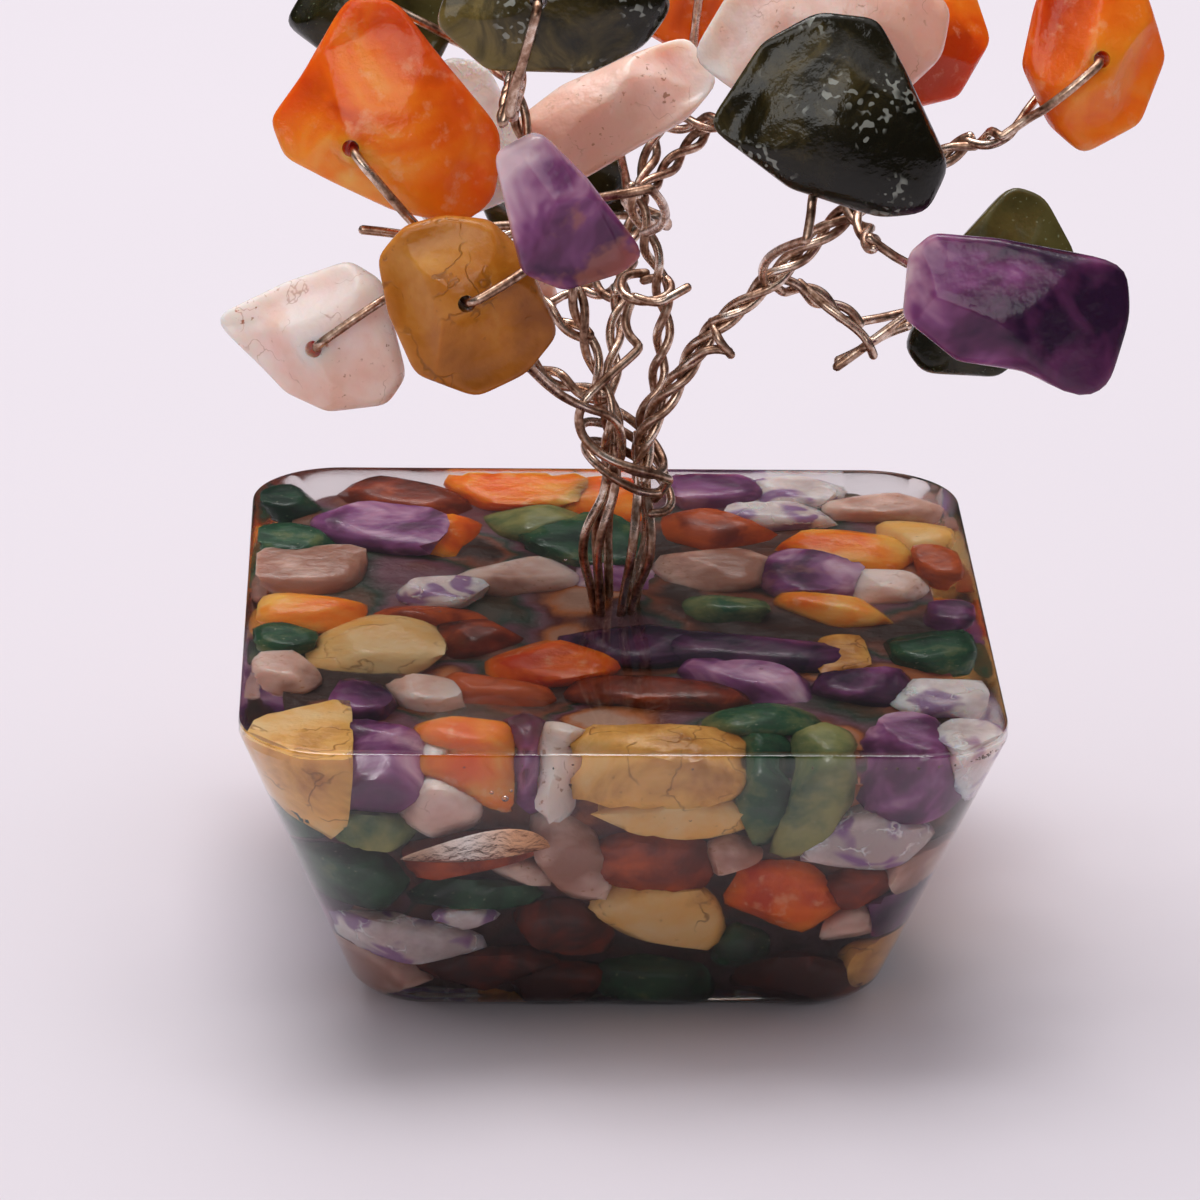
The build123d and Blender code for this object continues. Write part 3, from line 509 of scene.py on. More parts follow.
heap = fines_heap(24, 96, np.random.default_rng(12))
faces = grid_faces(*heap.shape[:2], False).tolist()
faces += [list(range(95, -1, -1)), list(range(heap.shape[0] * 96 - 96, heap.shape[0] * 96))]
fines = add_piece("bed_fines", heap, faces, fines_finish("stone_grit_painted_shade"), "red_jasper")
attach(fines, "base")




# Trunk: eight strands of silvered copper wire that stand in the resin, bow apart like a basket
# and draw in to a neck. The wire is tarnished brown where fingers have not rubbed it bright.

def wire_finish(name):
    """Silvered copper wire: bright metal under blotches of brown tarnish, with drawn scratches."""
    f = Finish(name)
    blotch = f.noise(1.5 * mm, 4.0, 0.6)
    fine = f.noise(0.30 * mm, 3.0)
    colour = f.ramp(blotch + (fine - 0.5) * 0.5, (0.28, (0.12, 0.054, 0.033)), (0.44, (0.39, 0.23, 0.155)),
                    (0.58, (0.68, 0.50, 0.39)), (0.74, (0.93, 0.85, 0.76)))
    roughness = f.between(blotch, 0.70, 0.30) * 0.22 + 0.20
    return f.surface(colour, roughness, fine, 0.015 * mm, Metallic=1.0)


wire_metal = wire_finish("tarnished_wire")
frame["nodes"]["trunk_wires"].data.materials.clear()
frame["nodes"]["trunk_wires"].data.materials.append(wire_metal)


# Binding: one wire wound loosely round the neck of the trunk, a little over two turns. Soft wire, so the
# turns are uneven and slant down to the right.

wire_radius = 0.25 * mm


def even_line(line, step):
    """The same line with its points at even steps."""
    along = np.concatenate(((0,), np.cumsum(np.linalg.norm(np.diff(line, axis=0), axis=1))))
    count = max(int(round(along[-1] / step)), 4)
    stations = np.linspace(0, along[-1], count + 1)
    return np.stack([np.interp(stations, along, line[:, axis]) for axis in range(3)], 1)


def across_line(line):
    """The way of a line at each point and two directions square to it, from the one direction that the
    whole line runs along least."""
    ways = unit(np.gradient(line, axis=0))
    guide = np.linalg.eigh(ways.T @ ways)[1][:, 0]
    first = unit(guide - ways * (ways @ guide)[:, None])
    return ways, first, np.cross(ways, first)


def wire_surface(line, radius, sides=10):
    """A round wire: a circle carried square to its line, drawn in to a rounded tip at each end."""
    ways, first, second = across_line(line)
    turn = np.linspace(0, 2 * math.pi, sides, endpoint=False)
    ring = np.cos(turn)[None, :, None] * first[:, None] + np.sin(turn)[None, :, None] * second[:, None]
    tube = line[:, None] + ring * radius
    lean = np.array((0.98, 0.72, 0.12))
    push = np.sqrt(1 - lean ** 2)
    tips = [np.stack([line[end] + side * ways[end] * radius * p + ring[end] * radius * s
                      for p, s in zip(push, lean)])
            for end, side in ((0, -1), (-1, 1))]
    return np.concatenate((tips[0][::-1], tube, tips[1]))


def wire_piece(name, lines, material, stood_for=(), radius=wire_radius):
    """One object for a group of wires, each closed at its tips by a small flat."""
    points, faces, start = [], [], 0
    for line in lines:
        surface = wire_surface(line, radius)
        rows, sides = surface.shape[:2]
        end = start + (rows - 1) * sides
        faces += grid_faces(rows, sides, False, start).tolist()
        faces += [list(range(start + sides - 1, start - 1, -1)), list(range(end, end + sides))]
        points.append(surface.reshape(-1, 3))
        start += rows * sides
    return add_piece(name, np.concatenate(points), faces, material, "copper_wire", stood_for)


binding_low, binding_high = (np.array(corner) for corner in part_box("trunk_binding"))
neck_axis = np.array((0.5 * mm, 0))
winding_turns, winding_slant = 2.25, 1.3 * mm
turn = np.linspace(-0.15, winding_turns + 0.12, 220)
winding_radius = 2.25 * mm * (1 + 0.13 * np.sin(2 * math.pi * turn * 0.81 + 0.6))
winding_rise = np.interp(turn, (turn[0], turn[-1]), (binding_low[2] + 0.3 * mm, binding_high[2] + 0.1 * mm))
winding = np.stack((neck_axis[0] + winding_radius * np.cos(2 * math.pi * turn),
                    neck_axis[1] + winding_radius * np.sin(2 * math.pi * turn),
                    winding_rise - winding_slant * np.cos(2 * math.pi * turn + 0.3)), 1)
binding = wire_piece("neck_binding", [even_line(winding, 0.15 * mm)], wire_metal, ("trunk_binding",))
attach(binding, "base")


# Boughs: bundles of two or three strands of the same wire, twisted by hand, that leave the neck of the
# trunk and carry the stems. Each bends at its root, so its foot and its loose ends stay in the binding.

stone_length = 10 * mm
fork = np.array((0.5, 0, 27.95)) * mm
bough_routes = {
    "left": ((-0.08, -0.08, 0.0), (-0.14, -0.08, 0.18), (-0.22, -0.05, 0.50), (-0.33, 0.02, 0.85),
             (-0.47, 0.10, 1.20),
             (-0.60, 0.18, 1.62), (-0.64, 0.20, 2.05), (-0.70, 0.16, 2.42)),
    "right": ((0.08, -0.08, 0.0), (0.19, -0.11, 0.17), (0.38, -0.12, 0.53), (0.71, -0.12, 0.84),
              (1.15, -0.10, 1.27),
              (1.64, -0.06, 1.55), (1.78, -0.05, 1.62)),
    "center": ((0.08, 0.08, 0.0), (0.17, 0.12, 0.22), (0.20, 0.15, 0.52), (0.17, 0.17, 0.77),
               (0.07, 0.14, 1.03),
               (0.01, 0.12, 1.27)),
    "back": ((-0.08, 0.08, 0.0), (-0.09, 0.22, 0.25), (-0.03, 0.58, 0.52), (0.05, 1.05, 0.74),
             (0.15, 1.50, 1.00),
             (0.25, 1.70, 1.32)),
}
bough_feet = {bough: np.array((*route[0][:2], -0.28)) for bough, route in bough_routes.items()}

# Strands, their distance from the middle of the bundle, and the length of one twist
Twist = namedtuple("Twist", "strands offset lay")
bough_twists = {"left": Twist(2, 0.29 * mm, 5.2 * mm), "right": Twist(3, 0.32 * mm, 5.6 * mm),
                "center": Twist(2, 0.29 * mm, 4.6 * mm), "back": Twist(2, 0.29 * mm, 5.0 * mm)}

# Single wires that leave a bundle: ends, hooks, a knot and the tail that is tucked under the binding
loose_wires = {
    "left": (((-0.55, -0.60, 0.55), (-0.44, -0.44, 0.37), (-0.27, -0.29, 0.21), (-0.09, -0.24, 0.14),
              (-0.03, -0.22, 0.02),
              (-0.04, -0.14, -0.14)),
             ((-1.42, -0.12, 1.13), (-1.31, -0.12, 1.12), (-1.16, -0.10, 1.09), (-0.98, -0.06, 1.05),
              (-0.69, -0.08, 1.17),
              (-0.42, 0.06, 1.08))),
    "right": (((0.25, -0.13, 0.34), (0.34, -0.17, 0.46), (0.45, -0.19, 0.51), (0.52, -0.17, 0.48)),
              ((0.43, -0.10, 0.62), (0.45, -0.19, 0.58), (0.49, -0.21, 0.52), (0.53, -0.19, 0.47)),
              ((1.46, -0.10, 0.66), (1.34, -0.14, 0.58), (1.22, -0.14, 0.48), (1.10, -0.15, 0.39)),
              ((1.47, -0.14, 0.62), (1.36, -0.09, 0.56), (1.25, -0.18, 0.52), (1.20, -0.10, 0.45),
               (1.11, -0.11, 0.41)),
              ((0.90, 0.02, 0.80), (1.02, -0.10, 0.72), (1.12, -0.14, 0.66), (1.23, -0.16, 0.58),
               (1.27, -0.19, 0.52), (1.29, -0.16, 0.46))),
    "center": (((0.02, 0.06, 0.70), (-0.03, 0.04, 0.60), (-0.01, 0.00, 0.51), (0.04, -0.05, 0.475),
                (0.05, -0.07, 0.46),
                (0.02, -0.09, 0.43), (-0.15, -0.19, 0.31), (-0.25, -0.24, 0.22), (-0.28, -0.23, 0.10),
                (-0.23, -0.24, -0.02),
                (-0.10, -0.27, -0.11), (0.08, -0.26, -0.17), (0.21, -0.16, -0.25), (0.23, -0.12, -0.28),
                (0.15, -0.08, -0.40)),
               ((0.09, 0.27, 0.76), (-0.01, 0.24, 0.77), (-0.05, 0.12, 0.76), (-0.04, 0.00, 0.73),
                (0.05, -0.05, 0.71),
                (0.17, -0.03, 0.72), (0.23, 0.08, 0.74), (0.19, 0.22, 0.77), (0.08, 0.24, 0.73)),
               ((0.03, -0.03, 0.73), (0.13, -0.09, 0.71), (0.22, -0.06, 0.75), (0.30, -0.01, 0.78))),
    "back": (),
}


def smooth_line(points, step):
    """The quadratic B-spline of a list of points, which starts and ends on them, sampled at even steps."""
    points = np.asarray(points, float)
    joins = (points[1:] + points[:-1]) / 2
    starts = np.vstack((points[:1], joins[1:-1])) if len(points) > 2 else points[:1]
    ends = np.vstack((joins[1:-1], points[-1:])) if len(points) > 2 else points[1:]
    tips = points[1:-1] if len(points) > 2 else joins
    t = np.linspace(0, 1, 40, endpoint=False)[None, :, None]
    arcs = (1 - t) ** 2 * starts[:, None] + 2 * t * (1 - t) * tips[:, None] + t ** 2 * ends[:, None]
    return even_line(np.vstack((arcs.reshape(-1, 3), points[-1:])), step)


def twisted(line, twist, draw, start_way=None):
    """Strands wound round a line: each turns about it once in the lay length, spaced evenly round it, and
    slow sine waves let its distance swell and its turning lag, as in wire twisted by hand."""
    ways, first, second = across_line(line)
    along = np.linalg.norm(np.diff(line, axis=0), axis=1).cumsum()
    along = np.concatenate(((0,), along)) / twist.lay
    begin = 0.0 if start_way is None else math.atan2(second[0] @ start_way, first[0] @ start_way)
    strands = []
    for strand in range(twist.strands):
        phase, lag = draw.uniform(0, 2 * math.pi, 2)
        slack = 0.25 * (np.sin(2.3 * along + lag) - math.sin(lag))
        angle = begin + 2 * math.pi * (along + strand / twist.strands) + slack
        offset = twist.offset * (1.15 + 0.15 * np.sin(3.1 * along + phase))[:, None]
        strands.append(line + offset * (np.cos(angle)[:, None] * first + np.sin(angle)[:, None] * second))
    return strands


wire_step = 0.12 * mm
wire_draw = np.random.default_rng(4)
for bough, route in bough_routes.items():
    line = smooth_line(fork + np.array((bough_feet[bough], *route)) * stone_length, wire_step)
    strands = twisted(line, bough_twists[bough], wire_draw)
    strands += [smooth_line(fork + np.array(points) * stone_length, wire_step)
                for points in loose_wires[bough]]
    wires = wire_piece(f"{bough}_bough_wires", strands, wire_metal, (f"{bough}_bough",))
    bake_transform(wires)


# Hung stones: nineteen tumbled chips, drilled through their flat faces and strung on loops of wire.
# Each keeps the outline of its solid, is domed on both faces and worn to flats.

# Open tells whether the wire comes out at the front, and zone is the way that the colour pales, in degrees
Hung = namedtuple("Hung", "bough kind heading open tone zone attach ways")
hung_stones = {
    "carnelian_left": Hung("left", "carnelian", -48, True, 0.1, -110, (-0.38, 0.05, 0.98),
                           ((-0.69, -0.10, 1.19),)),
    "yellow_left": Hung("left", "yellow_jasper", 28, True, -0.1, 160, (-0.45, 0.08, 1.13), ()),
    "rose_quartz_left": Hung("left", "rose_quartz", 40, True, 0.3, 100, (-0.14, -0.08, 0.18),
                             ((-0.81, 0.26, 0.56), (-0.47, 0.05, 0.24))),
    "amethyst_center": Hung("center", "amethyst", 12, False, 0.25, 130, (0.07, 0.14, 1.03),
                            ((0.24, -0.62, 1.36),)),
    "rose_quartz_center": Hung("center", "rose_quartz", -80, False, -0.5, 30, (0.01, 0.12, 1.27), ()),
    "rose_quartz_top": Hung("right", "rose_quartz", -86, False, -0.3, 180, (1.15, -0.10, 1.27), ()),
    "moss_agate": Hung("right", "moss_agate", -104, False, -0.3, 150, (0.71, -0.12, 0.84),
                       ((0.61, -0.38, 1.10),)),
    "carnelian_back": Hung("back", "carnelian", -150, True, -0.6, 90, (0.20, 1.60, 1.16),
                           ((0.72, 1.28, 1.26),)),
    "carnelian_right": Hung("right", "carnelian", -142, True, -0.25, -60, (1.78, -0.05, 1.62), ()),
    "green_right": Hung("right", "green_aventurine", 190, False, 0.0, 60, (0.71, -0.12, 0.84),
                        ((0.95, 0.05, 0.78),)),
    "amethyst_right": Hung("right", "amethyst", 152, False, -0.1, 200, (1.15, -0.10, 1.27),
                           ((1.25, -0.42, 1.16),)),
    "olive_top": Hung("left", "moss_agate", -104, True, 0.7, 200, (-0.64, 0.20, 2.05),
                      ((-0.62, -0.55, 2.12),)),
    "green_top_left": Hung("left", "green_aventurine", -22, True, 0.0, 0, (-0.62, 0.19, 1.86), ()),
    "orange_top": Hung("back", "carnelian", -96, True, -0.2, 0, (0.25, 1.70, 1.32), ()),
    "clear_left": Hung("left", "clear_quartz", -75, False, 0.6, 0, (-0.22, -0.05, 0.50), ()),
    "green_top": Hung("left", "green_aventurine", -80, True, 0.2, 120, (-0.70, 0.16, 2.42), ()),
    "rose_quartz_back": Hung("back", "rose_quartz", 170, True, 0.0, 20, (-0.03, 0.58, 0.52), ()),
    "green_back": Hung("back", "green_aventurine", 205, True, -0.2, 80, (0.05, 1.05, 0.74), ()),
    "red_back": Hung("back", "red_jasper", -5, True, 0.2, 50, (0.10, 1.275, 0.87), ()),
}
swivels = {joint["child"]: joint for joint in frame["joints"]}
half_thickness = 2.25 * mm
bore_radius = 0.45 * mm


def moss_agate_finish(name, cast):
    """Nearly black green stone with moss-like brown clouds and clusters of pale specks painted as glints."""
    f = Finish(name)
    colour = f.ramp(f.zones(3.0 * mm, 5.0, 0.65, 0.8), (0.30, (0.006, 0.005, 0.002)),
                    (0.50, (0.014, 0.011, 0.004)),
                    (0.66, (0.055, 0.040, 0.012)), (0.84, (0.17, 0.12, 0.035)))
    cluster = f.between(f.noise(3.2 * mm) - f.mark("rim") * 0.10, 0.46, 0.54)
    # Painted glints: small pale specks in clusters, fewer towards the rim
    painted_glint = f.between(f.noise(0.34 * mm, 0.0), 0.58, 0.66) * cluster
    colour = f.mix(painted_glint * 0.55, colour, (0.40, 0.41, 0.36))
    return f.surface(colour, 0.17, f.noise(0.8 * mm), 0.08 * mm, **translucent(0.2, 0.5))


stone_finishes["moss_agate"] = moss_agate_finish


def stone_axes(name):
    """Middle of the hole, and the right, up and facing directions of a hung stone, from its joint."""
    joint = swivels[f"{name}_chip"]
    facing = unit(joint["axis"])
    right = unit(np.cross((0, 0, 1), facing))
    return np.array(joint["pos_m"]), right, np.cross(facing, right), facing


def outline_reach(name, turn):
    """How far the outline lies from the hole in each direction: the farthest crossing with a straight edge
    between two corners of the solid that lie in its middle plane."""
    hole, right, up, facing = stone_axes(name)
    corners = node_mesh(f"{name}_chip")[0] - hole
    flat = np.stack((corners @ right, corners @ up), 1)
    in_plane = (np.abs(corners @ facing) < 0.02 * mm) & (np.linalg.norm(flat, axis=1) > 2 * bore_radius)
    flat = flat[in_plane]
    flat = flat[np.argsort(np.arctan2(flat[:, 1], flat[:, 0]))]
    edges = np.roll(flat, -1, axis=0) - flat
    ways = np.stack((np.cos(turn), np.sin(turn)), 1)
    across = ways[:, :1] * edges[:, 1] - ways[:, 1:] * edges[:, 0]
    across = np.where(np.abs(across) < 1e-12, 1e-12, across)
    distance = (flat[:, 0] * edges[:, 1] - flat[:, 1] * edges[:, 0]) / across
    place = (flat[:, 0] * ways[:, 1:] - flat[:, 1] * ways[:, :1]) / across
    hit = (distance > 0) & (place >= -1e-6) & (place <= 1 + 1e-6)
    return np.where(hit, distance, 0).max(1)


dome_rows, stone_turns = 49, 120


def hung_stone(name, hung, draw):
    """A drilled stone as a ring-shaped grid: round the hole, and over the front face, the edge, the back face
    and the bore. Its section is a superellipse between the bore and the outline, thinner on one side of each
    face, with random flats worn on the faces. A hole that is not open narrows to nothing at the front."""
    hole, right, up, facing = stone_axes(name)
    turn = np.linspace(0, 2 * math.pi, stone_turns, endpoint=False)
    waves = np.fft.rfftfreq(stone_turns, 1 / stone_turns)
    reach = np.fft.irfft(np.fft.rfft(outline_reach(name, turn)) * np.exp(-(waves * math.radians(4)) ** 2 / 2),
                         stone_turns)
    dome = np.linspace(math.pi / 2, -math.pi / 2, dome_rows)
    bore = np.linspace(-1, 1, 9)[1:-1]
    power = 2 / 2.5
    out = np.concatenate((np.abs(np.cos(dome)) ** power, 0 * bore))
    out[[0, dome_rows - 1]] = 0
    height = np.concatenate((np.sign(np.sin(dome)) * np.abs(np.sin(dome)) ** power, bore))
    inner = np.full(len(out), bore_radius)
    if not hung.open:
        inner[:dome_rows // 2] = 0.02 * mm
        inner[-2:] = 0.02 * mm
    radius = inner[:, None] + (reach[None] - inner[:, None]) * out[:, None]
    thin_sides = draw.uniform(0, 2 * math.pi, 2)
    thin = np.where(height > 0, *(np.cos(turn - side)[:, None] for side in thin_sides)).T
    rise = height[:, None] * half_thickness * (1 - 0.20 * out[:, None] * (1 + thin))
    ways = np.cos(turn)[:, None] * right + np.sin(turn)[:, None] * up
    worn = radius[..., None] * ways[None] + rise[..., None] * facing
    centre = worn.reshape(-1, 3).mean(0)
    free = np.clip((radius - bore_radius) / (1.0 * mm), 0, 1) if hung.open else np.ones_like(radius)
    free = (free * (1 - out[:, None] ** 12))[..., None]
    for side in (1, -1) * 6:
        lean, heading = draw.uniform(0.35, 1.05), draw.uniform(0, 2 * math.pi)
        sideways = math.cos(heading) * right + math.sin(heading) * up
        normal = side * math.cos(lean) * facing + math.sin(lean) * sideways
        above = (worn - centre) @ normal
        limit = above.max() * draw.uniform(0.66, 0.86)
        worn = worn - free * normal * (np.clip(above - limit, 0, None) * 0.9)[..., None]
    pulls, phases = draw.normal(0, 0.9 / mm, (6, 3)), draw.uniform(0, 2 * math.pi, 6)
    dents = 0.5 + 0.5 * np.sin(worn @ pulls.T + phases).mean(-1)
    worn = centre + (worn - centre) * (1 - 0.05 * dents[..., None] * free)
    pale_way = math.cos(math.radians(hung.zone)) * right + math.sin(math.radians(hung.zone)) * up
    zone = np.clip((worn - centre) @ pale_way / reach.mean(), -1.2, 1.2)
    return hole + worn, np.broadcast_to(out[:, None], radius.shape), zone


stone_surfaces = {}
for name, hung in hung_stones.items():
    draw = np.random.default_rng(sum(map(ord, name)))
    points, rim, zone = hung_stone(name, hung, draw)
    stone_surfaces[name] = points
    faces = grid_faces(*points.shape[:2], True)
    stone = add_piece(f"{name}_stone", points, faces, stone_finishes[hung.kind](name, False), hung.kind,
                      (f"{name}_chip",),
                      rim=rim, zone=zone, tone=np.full(rim.shape, hung.tone))
    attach(stone, f"{name}_chip")


# Stems: each stone hangs on one wire, folded through its hole, whose two legs are twisted together and
# laid along the bough. Where the hole is not open at the front, one leg ends in it and one in the twist.

swing, leg_gap = math.radians(20), 0.18 * mm
stem_twist = Twist(2, 0.27 * mm, 4.2 * mm)
# Stones whose second leg is cut off short, which leaves a single wire
single_wires = {"moss_agate", "amethyst_center"}


def leg_heights(name, side, heading, radii):
    """How high a leg runs over one face at each distance from the hole, clear of the face through the
    swing. Each height is taken a little nearer the hole, so that the leg comes down only when it is past
    the rim."""
    hole, right, up, facing = stone_axes(name)
    half = dome_rows // 2
    face = stone_surfaces[name][:half + 1] if side > 0 else stone_surfaces[name][half:dome_rows][::-1]
    face = face - hole
    across, along = face @ right, face @ up
    distance = np.maximum.accumulate(np.hypot(across, along), axis=0)
    angle = np.arctan2(along[half], across[half])
    near = np.abs((angle - heading + math.pi) % (2 * math.pi) - math.pi) < swing
    nearer = 0.92 * radii
    heights = [np.interp(nearer, distance[:, column], side * (face @ facing)[:, column])
               for column in np.flatnonzero(near)]
    return np.max(heights, axis=0) + wire_radius + leg_gap


for name, hung in hung_stones.items():
    hole, right, up, facing = stone_axes(name)
    heading = math.radians(hung.heading)
    way = math.cos(heading) * right + math.sin(heading) * up
    edge = outline_reach(name, np.linspace(heading - swing, heading + swing, 13)).max()
    neck = hole + way * (edge + 1.9 * mm)
    route = [neck] + [fork + np.array(p) * stone_length for p in (*hung.ways, hung.attach)]
    twist = Twist(1, 0.0, stem_twist.lay) if name in single_wires else stem_twist
    strands = twisted(smooth_line(route, wire_step), twist, wire_draw, facing)
    front, back = strands[0], strands[-1]
    radii = np.append(np.array((0.12, 0.3, 0.48, 0.64, 0.78, 0.89, 0.96, 1.0)) * edge, edge + 0.6 * mm)
    legs = [[hole + way * radius + side * facing * height for radius, height in zip(radii, heights)]
            for side, heights in ((1, leg_heights(name, 1, heading, radii)),
                                  (-1, leg_heights(name, -1, heading, radii)))]
    mouths = [hole + side * facing * half_thickness * 0.9 for side in (1, -1)]
    if hung.open:
        loop = [front[0], *legs[0][::-1], *mouths, *legs[1], back[0]]
        lines = [np.vstack((front[::-1], smooth_line(loop, wire_step)[1:-1], back))]
    else:
        leg = [hole, mouths[1], *legs[1], back[0]]
        lines = [np.vstack((smooth_line(leg, wire_step)[:-1], back)), *strands[:-1]]
    stem = wire_piece(f"{name}_stem_wire", [even_line(line, wire_step) for line in lines], wire_metal,
                      (f"{name}_stem",))
    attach(stem, f"{hung.bough}_bough")


# Block: clear resin cast round the stones and the feet of the strands, in a mould wider at the rim.
# The poured face is the top, a thin rim stands where the mould closed, and the faces are polished.

def resin_finish(name):
    """Clear cast resin, a touch warm and hazy with fine scratches under a glossy skin that keeps the faint
    waves of hand polishing. Light from lamps and from other surfaces goes straight through to the
    stones."""
    f = Finish(name)
    shadow, diffuse = (f.node("ShaderNodeLightPath", out=ray) for ray in ("Is Shadow Ray", "Is Diffuse Ray"))
    light = shadow + diffuse
    wave = f.noise(9.0 * mm, 2.0) + f.noise(2.0 * mm, 2.0) * 0.12
    haze = f.between(f.noise(7.0 * mm, 2.0), 0.35, 0.65) * 0.10 + 0.08
    return f.surface((0.985, 0.970, 0.955), haze, wave, 0.18 * mm, light, Transmission_Weight=1.0, IOR=1.50,
                     Coat_Weight=0.6, Coat_Roughness=0.02)


wall_lean = math.atan2(half_rim - half_foot, rim_base)


def block_surface(columns):
    """A rounded square carried along a profile: out from the middle of the foot, round the foot's edge, up
    the leaning wall, over the rim and in to the middle of the top."""
    foot_middle = half_foot - foot_edge * (1 - math.sin(wall_lean)) / math.cos(wall_lean)
    swing_up = np.linspace(-math.pi / 2, -wall_lean, 9)
    foot_half, foot_rise = foot_middle + foot_edge * np.cos(swing_up), foot_edge * (1 + np.sin(swing_up))
    wall_half = np.linspace(foot_half[-1], half_rim, 10)[1:]
    wall_rise = np.linspace(foot_rise[-1], rim_base, 10)[1:]
    soft = 0.14 * mm
    half = np.concatenate((np.array((0.02, 0.5, 0.95)) * foot_middle, foot_half, wall_half,
                           half_rim - np.array((0, 0.3, 1.0)) * soft, np.array((0.97, 0.6, 0.02)) * half_rim))
    rise = np.concatenate((np.zeros(3), foot_rise, wall_rise,
                           block_top - np.array((1.0, 0.3, 0)) * soft, np.full(3, block_top)))
    corner = np.interp(half, (0, foot_middle, half_foot, half_rim),
                       (0, foot_corner * 0.7, foot_corner, rim_corner))
    ring = rounded_square(half, corner, columns)
    return np.concatenate((ring, np.broadcast_to(rise[:, None, None], (*ring.shape[:2], 1))), -1)


block_columns = 144
shell = block_surface(block_columns)
last_ring = (len(shell) - 1) * block_columns
faces = grid_faces(len(shell), block_columns, False).tolist()
faces += [list(range(block_columns - 1, -1, -1)), list(range(last_ring, last_ring + block_columns))]
block = add_piece("clear_block", shell, faces, resin_finish("clear_resin"), "clear_resin",
                  ("resin_block",), 25)
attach(block, "base")


# Flaws of the casting: a thin lens of air over one red stone, which shines like a mirror, a few round
# bubbles near the front, and brown flecks caught in the seam of the rim at the right.

def air_lens_finish(name):
    """Air trapped on a stone: a metal mirror whose colours are painted sheen, white on the left and golden on
    the right, with small ripples.
    """
    f = Finish(name)
    # Painted sheen: the mirror's colour runs from copper through white and gold to brown along the lens
    colour = f.ramp(f.mark("zone"), (0.15, (0.60, 0.40, 0.28)), (0.45, (0.95, 0.88, 0.80)),
                    (0.75, (0.85, 0.48, 0.26)),
                    (1.0, (0.55, 0.25, 0.10)))
    return f.surface(colour, 0.25, f.noise(0.8 * mm, 4.0), 0.15 * mm, Metallic=1.0)


def air_lens(rows, columns):
    """A lens along X: its lower edge is a rising parabola, its height falls off to both tips, it leans back
    as it rises, and its section is a thin ellipse."""
    u = np.linspace(-0.995, 0.995, rows)[:, None]
    a = np.linspace(0, 2 * math.pi, columns, endpoint=False)[None]
    share = 0.5 - 0.5 * np.cos(a)
    height = (1 - u ** 2) ** 0.7 * (1.9 + 0.8 * u)
    x = -7.7 + 3.9 * u + 0 * a
    z = 10.35 + 0.55 * u ** 2 + 0.45 * u + height * share
    y = -14 - 6 * z / 16.8 + 0.24 + 0.05 * np.sin(a) * (1 - u ** 2)
    return np.stack((x, y, z), -1) * mm, 0.5 + 0.5 * u + 0 * a


lens_points, lens_zone = air_lens(41, 24)
lens = add_piece("air_lens", lens_points, grid_faces(41, 24, False)[:, ::-1], air_lens_finish("trapped_air_painted_sheen"),
                 "clear_resin",
                 zone=lens_zone)
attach(lens, "base")


def bubble_finish(name):
    """The wall of a bubble, from resin into air."""
    f = Finish(name)
    return f.surface(f.ramp(f.noise(1.0 * mm), (0.3, (0.96, 0.95, 0.94)), (0.7, (1.0, 1.0, 1.0))), 0.0,
                     Transmission_Weight=1.0, IOR=0.667)


def scattered_beads(middles, sizes, rows, columns):
    """A rounded bead at each middle, an ellipsoid with three half sizes."""
    ways = globe_ways(rows, columns)
    points = middles[:, None] + ways[None] * sizes[:, None]
    faces = [face for bead in range(len(middles)) for face in globe_faces(rows, columns, bead * len(ways))]
    return points.reshape(-1, 3), faces


bubble_places = np.array(((-6.2, -18.6, 14.6), (-6.9, -18.8, 15.0), (-5.9, -18.7, 15.1), (3.4, -18.2, 13.2),
                          (11.2, -17.3, 12.0),
                          (-13.8, -17.9, 13.4), (7.5, -8.5, 17.1), (-2.5, 6.5, 17.1),
                          (-9.5, -1.0, 17.15))) * mm
bubble_sizes = np.array((0.20, 0.10, 0.08, 0.10, 0.12, 0.07, 0.10, 0.12, 0.08))[:, None] * mm * np.ones(3)
bubbles = add_piece("resin_bubbles", *scattered_beads(bubble_places, bubble_sizes, 9, 16),
                    bubble_finish("bubble_wall"),
                    "clear_resin")
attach(bubbles, "base")


def fleck_finish(name):
    """Brown grit."""
    f = Finish(name)
    return f.surface(f.ramp(f.noise(0.2 * mm), (0.3, (0.05, 0.022, 0.010)), (0.7, (0.17, 0.085, 0.040))), 0.6,
                     f.noise(0.1 * mm), 0.02 * mm)


fleck_draw = np.random.default_rng(8)
seam = rounded_square(np.array((half_rim - 0.12 * mm,)), np.array((rim_corner,)), 1200)[0]
seam_share = np.concatenate((fleck_draw.uniform(0.86, 0.915, 26), fleck_draw.uniform(0.70, 0.99, 22)))
fleck_places = np.column_stack((seam[(seam_share * 1200).astype(int)],
                                rim_base + fleck_draw.normal(0, 0.05 * mm, 48)))
fleck_sizes = fleck_draw.uniform(0.025, 0.085, (48, 3)) * mm
flecks = add_piece("seam_flecks", *scattered_beads(fleck_places, fleck_sizes, 4, 6),
                   fleck_finish("brown_grit"), "clear_resin")
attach(flecks, "base")


# Stage: a plain pale floor with a faint lilac tint, soft light from all round and one broad lamp
# overhead and behind, so that the front of the block is in its own shade.

def floor_finish(name):
    """Matt pale card."""
    f = Finish(name)
    colour = f.ramp(f.noise(0.2), (0.3, (0.80, 0.745, 0.805)), (0.7, (0.83, 0.775, 0.835)))
    return f.surface(colour, 0.9, Specular_IOR_Level=0.1)


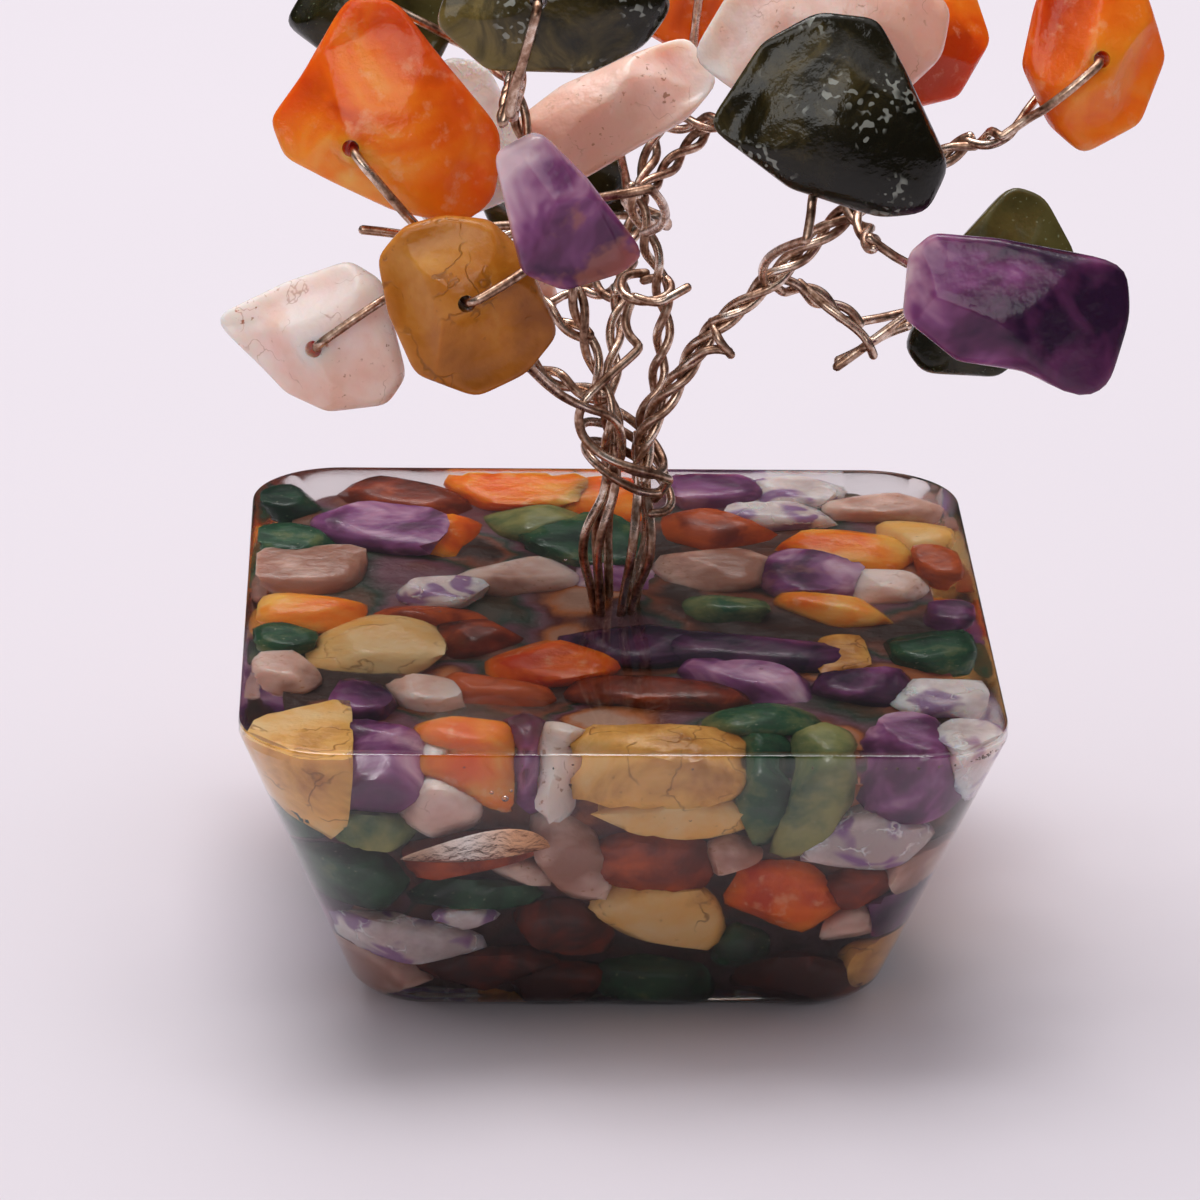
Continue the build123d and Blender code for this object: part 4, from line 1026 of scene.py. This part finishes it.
floor_reach = 3.0
floor_mesh = bpy.data.meshes.new("floor")
floor_corners = ((-1, -1), (1, -1), (1, 1), (-1, 1))
floor_mesh.from_pydata([(x * floor_reach, y * floor_reach, -0.00002) for x, y in floor_corners],
                       [], [(0, 1, 2, 3)])
floor_mesh.materials.append(floor_finish("pale_card"))
floor = bpy.data.objects.new("floor", floor_mesh)
bpy.context.scene.collection.objects.link(floor)

sky = Finish("soft_room", bpy.data.worlds)
sky_way = sky.node("ShaderNodeTexCoord", out="Generated")
overhead = sky.between(sky.node("ShaderNodeSeparateXYZ", None, {0: sky_way}, "Z"), 0.40, 1.00)
in_front = sky.between(sky.node("ShaderNodeSeparateXYZ", None, {0: sky_way}, "Y"), 0.0, -0.6)
sky_light = overhead * (1 - in_front * 0.92) * 1.25 + in_front * 0.025 + 0.045
sky_glow = sky.node("ShaderNodeBackground", None, {"Color": (1.0, 0.97, 0.99, 1), "Strength": sky_light})
sky.node("ShaderNodeOutputWorld", None, {"Surface": sky_glow})
bpy.context.scene.world = sky.material


def add_panel(name, place, sizes, watts):
    """A soft rectangular lamp that points at the middle of the object."""
    data = bpy.data.lights.new(name, "AREA")
    data.shape = "RECTANGLE"
    data.size, data.size_y = sizes
    data.energy = watts
    lamp = bpy.data.objects.new(name, data)
    lamp.location = place
    lamp.rotation_mode = "QUATERNION"
    lamp.rotation_quaternion = (Vector(place) - Vector((0, 0, 0.03))).to_track_quat("Z", "Y")
    bpy.context.scene.collection.objects.link(lamp)
    return lamp


add_panel("overhead_panel", (-0.05, 0.18, 0.50), (0.34, 0.28), 1.66)
crown_panel = add_panel("crown_panel", (-0.15, -0.45, 0.40), (0.40, 0.40), 1.30)
crown = bpy.data.collections.new("crown")
for name in hung_stones:
    crown.objects.link(bpy.data.objects[f"{name}_stone"])
    crown.objects.link(bpy.data.objects[f"{name}_stem_wire"])
for bough in bough_routes:
    crown.objects.link(bpy.data.objects[f"{bough}_bough_wires"])
crown_panel.light_linking.receiver_collection = crown
bpy.context.scene.view_settings.view_transform = "Standard"


# Camera: a long lens in front of the block and a little above it, rolled by a degree as the picture is.

picture_width = 1200
focal_pixels = 5925
azimuth, elevation, roll = (math.radians(angle) for angle in (-2.126, 22.817, 1.108))
target, distance = np.array((-0.808, 0, 17.694)) * mm, 321.39 * mm
back = np.array((math.sin(azimuth) * math.cos(elevation), -math.cos(azimuth) * math.cos(elevation),
                 math.sin(elevation)))
level = unit(np.cross(-back, (0, 0, 1)))
upright = np.cross(back, level)
across = level * math.cos(roll) + upright * math.sin(roll)
upward = upright * math.cos(roll) - level * math.sin(roll)
camera_data = bpy.data.cameras.new("photo_view")
camera_data.sensor_width = 36
camera_data.lens = focal_pixels / picture_width * camera_data.sensor_width
camera_data.clip_start = 0.01
camera = bpy.data.objects.new("photo_view", camera_data)
turned = Matrix((across, upward, back)).transposed().to_4x4()
turned.translation = Vector(target + back * distance)
camera.matrix_world = turned
bpy.context.scene.collection.objects.link(camera)
bpy.context.scene.camera = camera
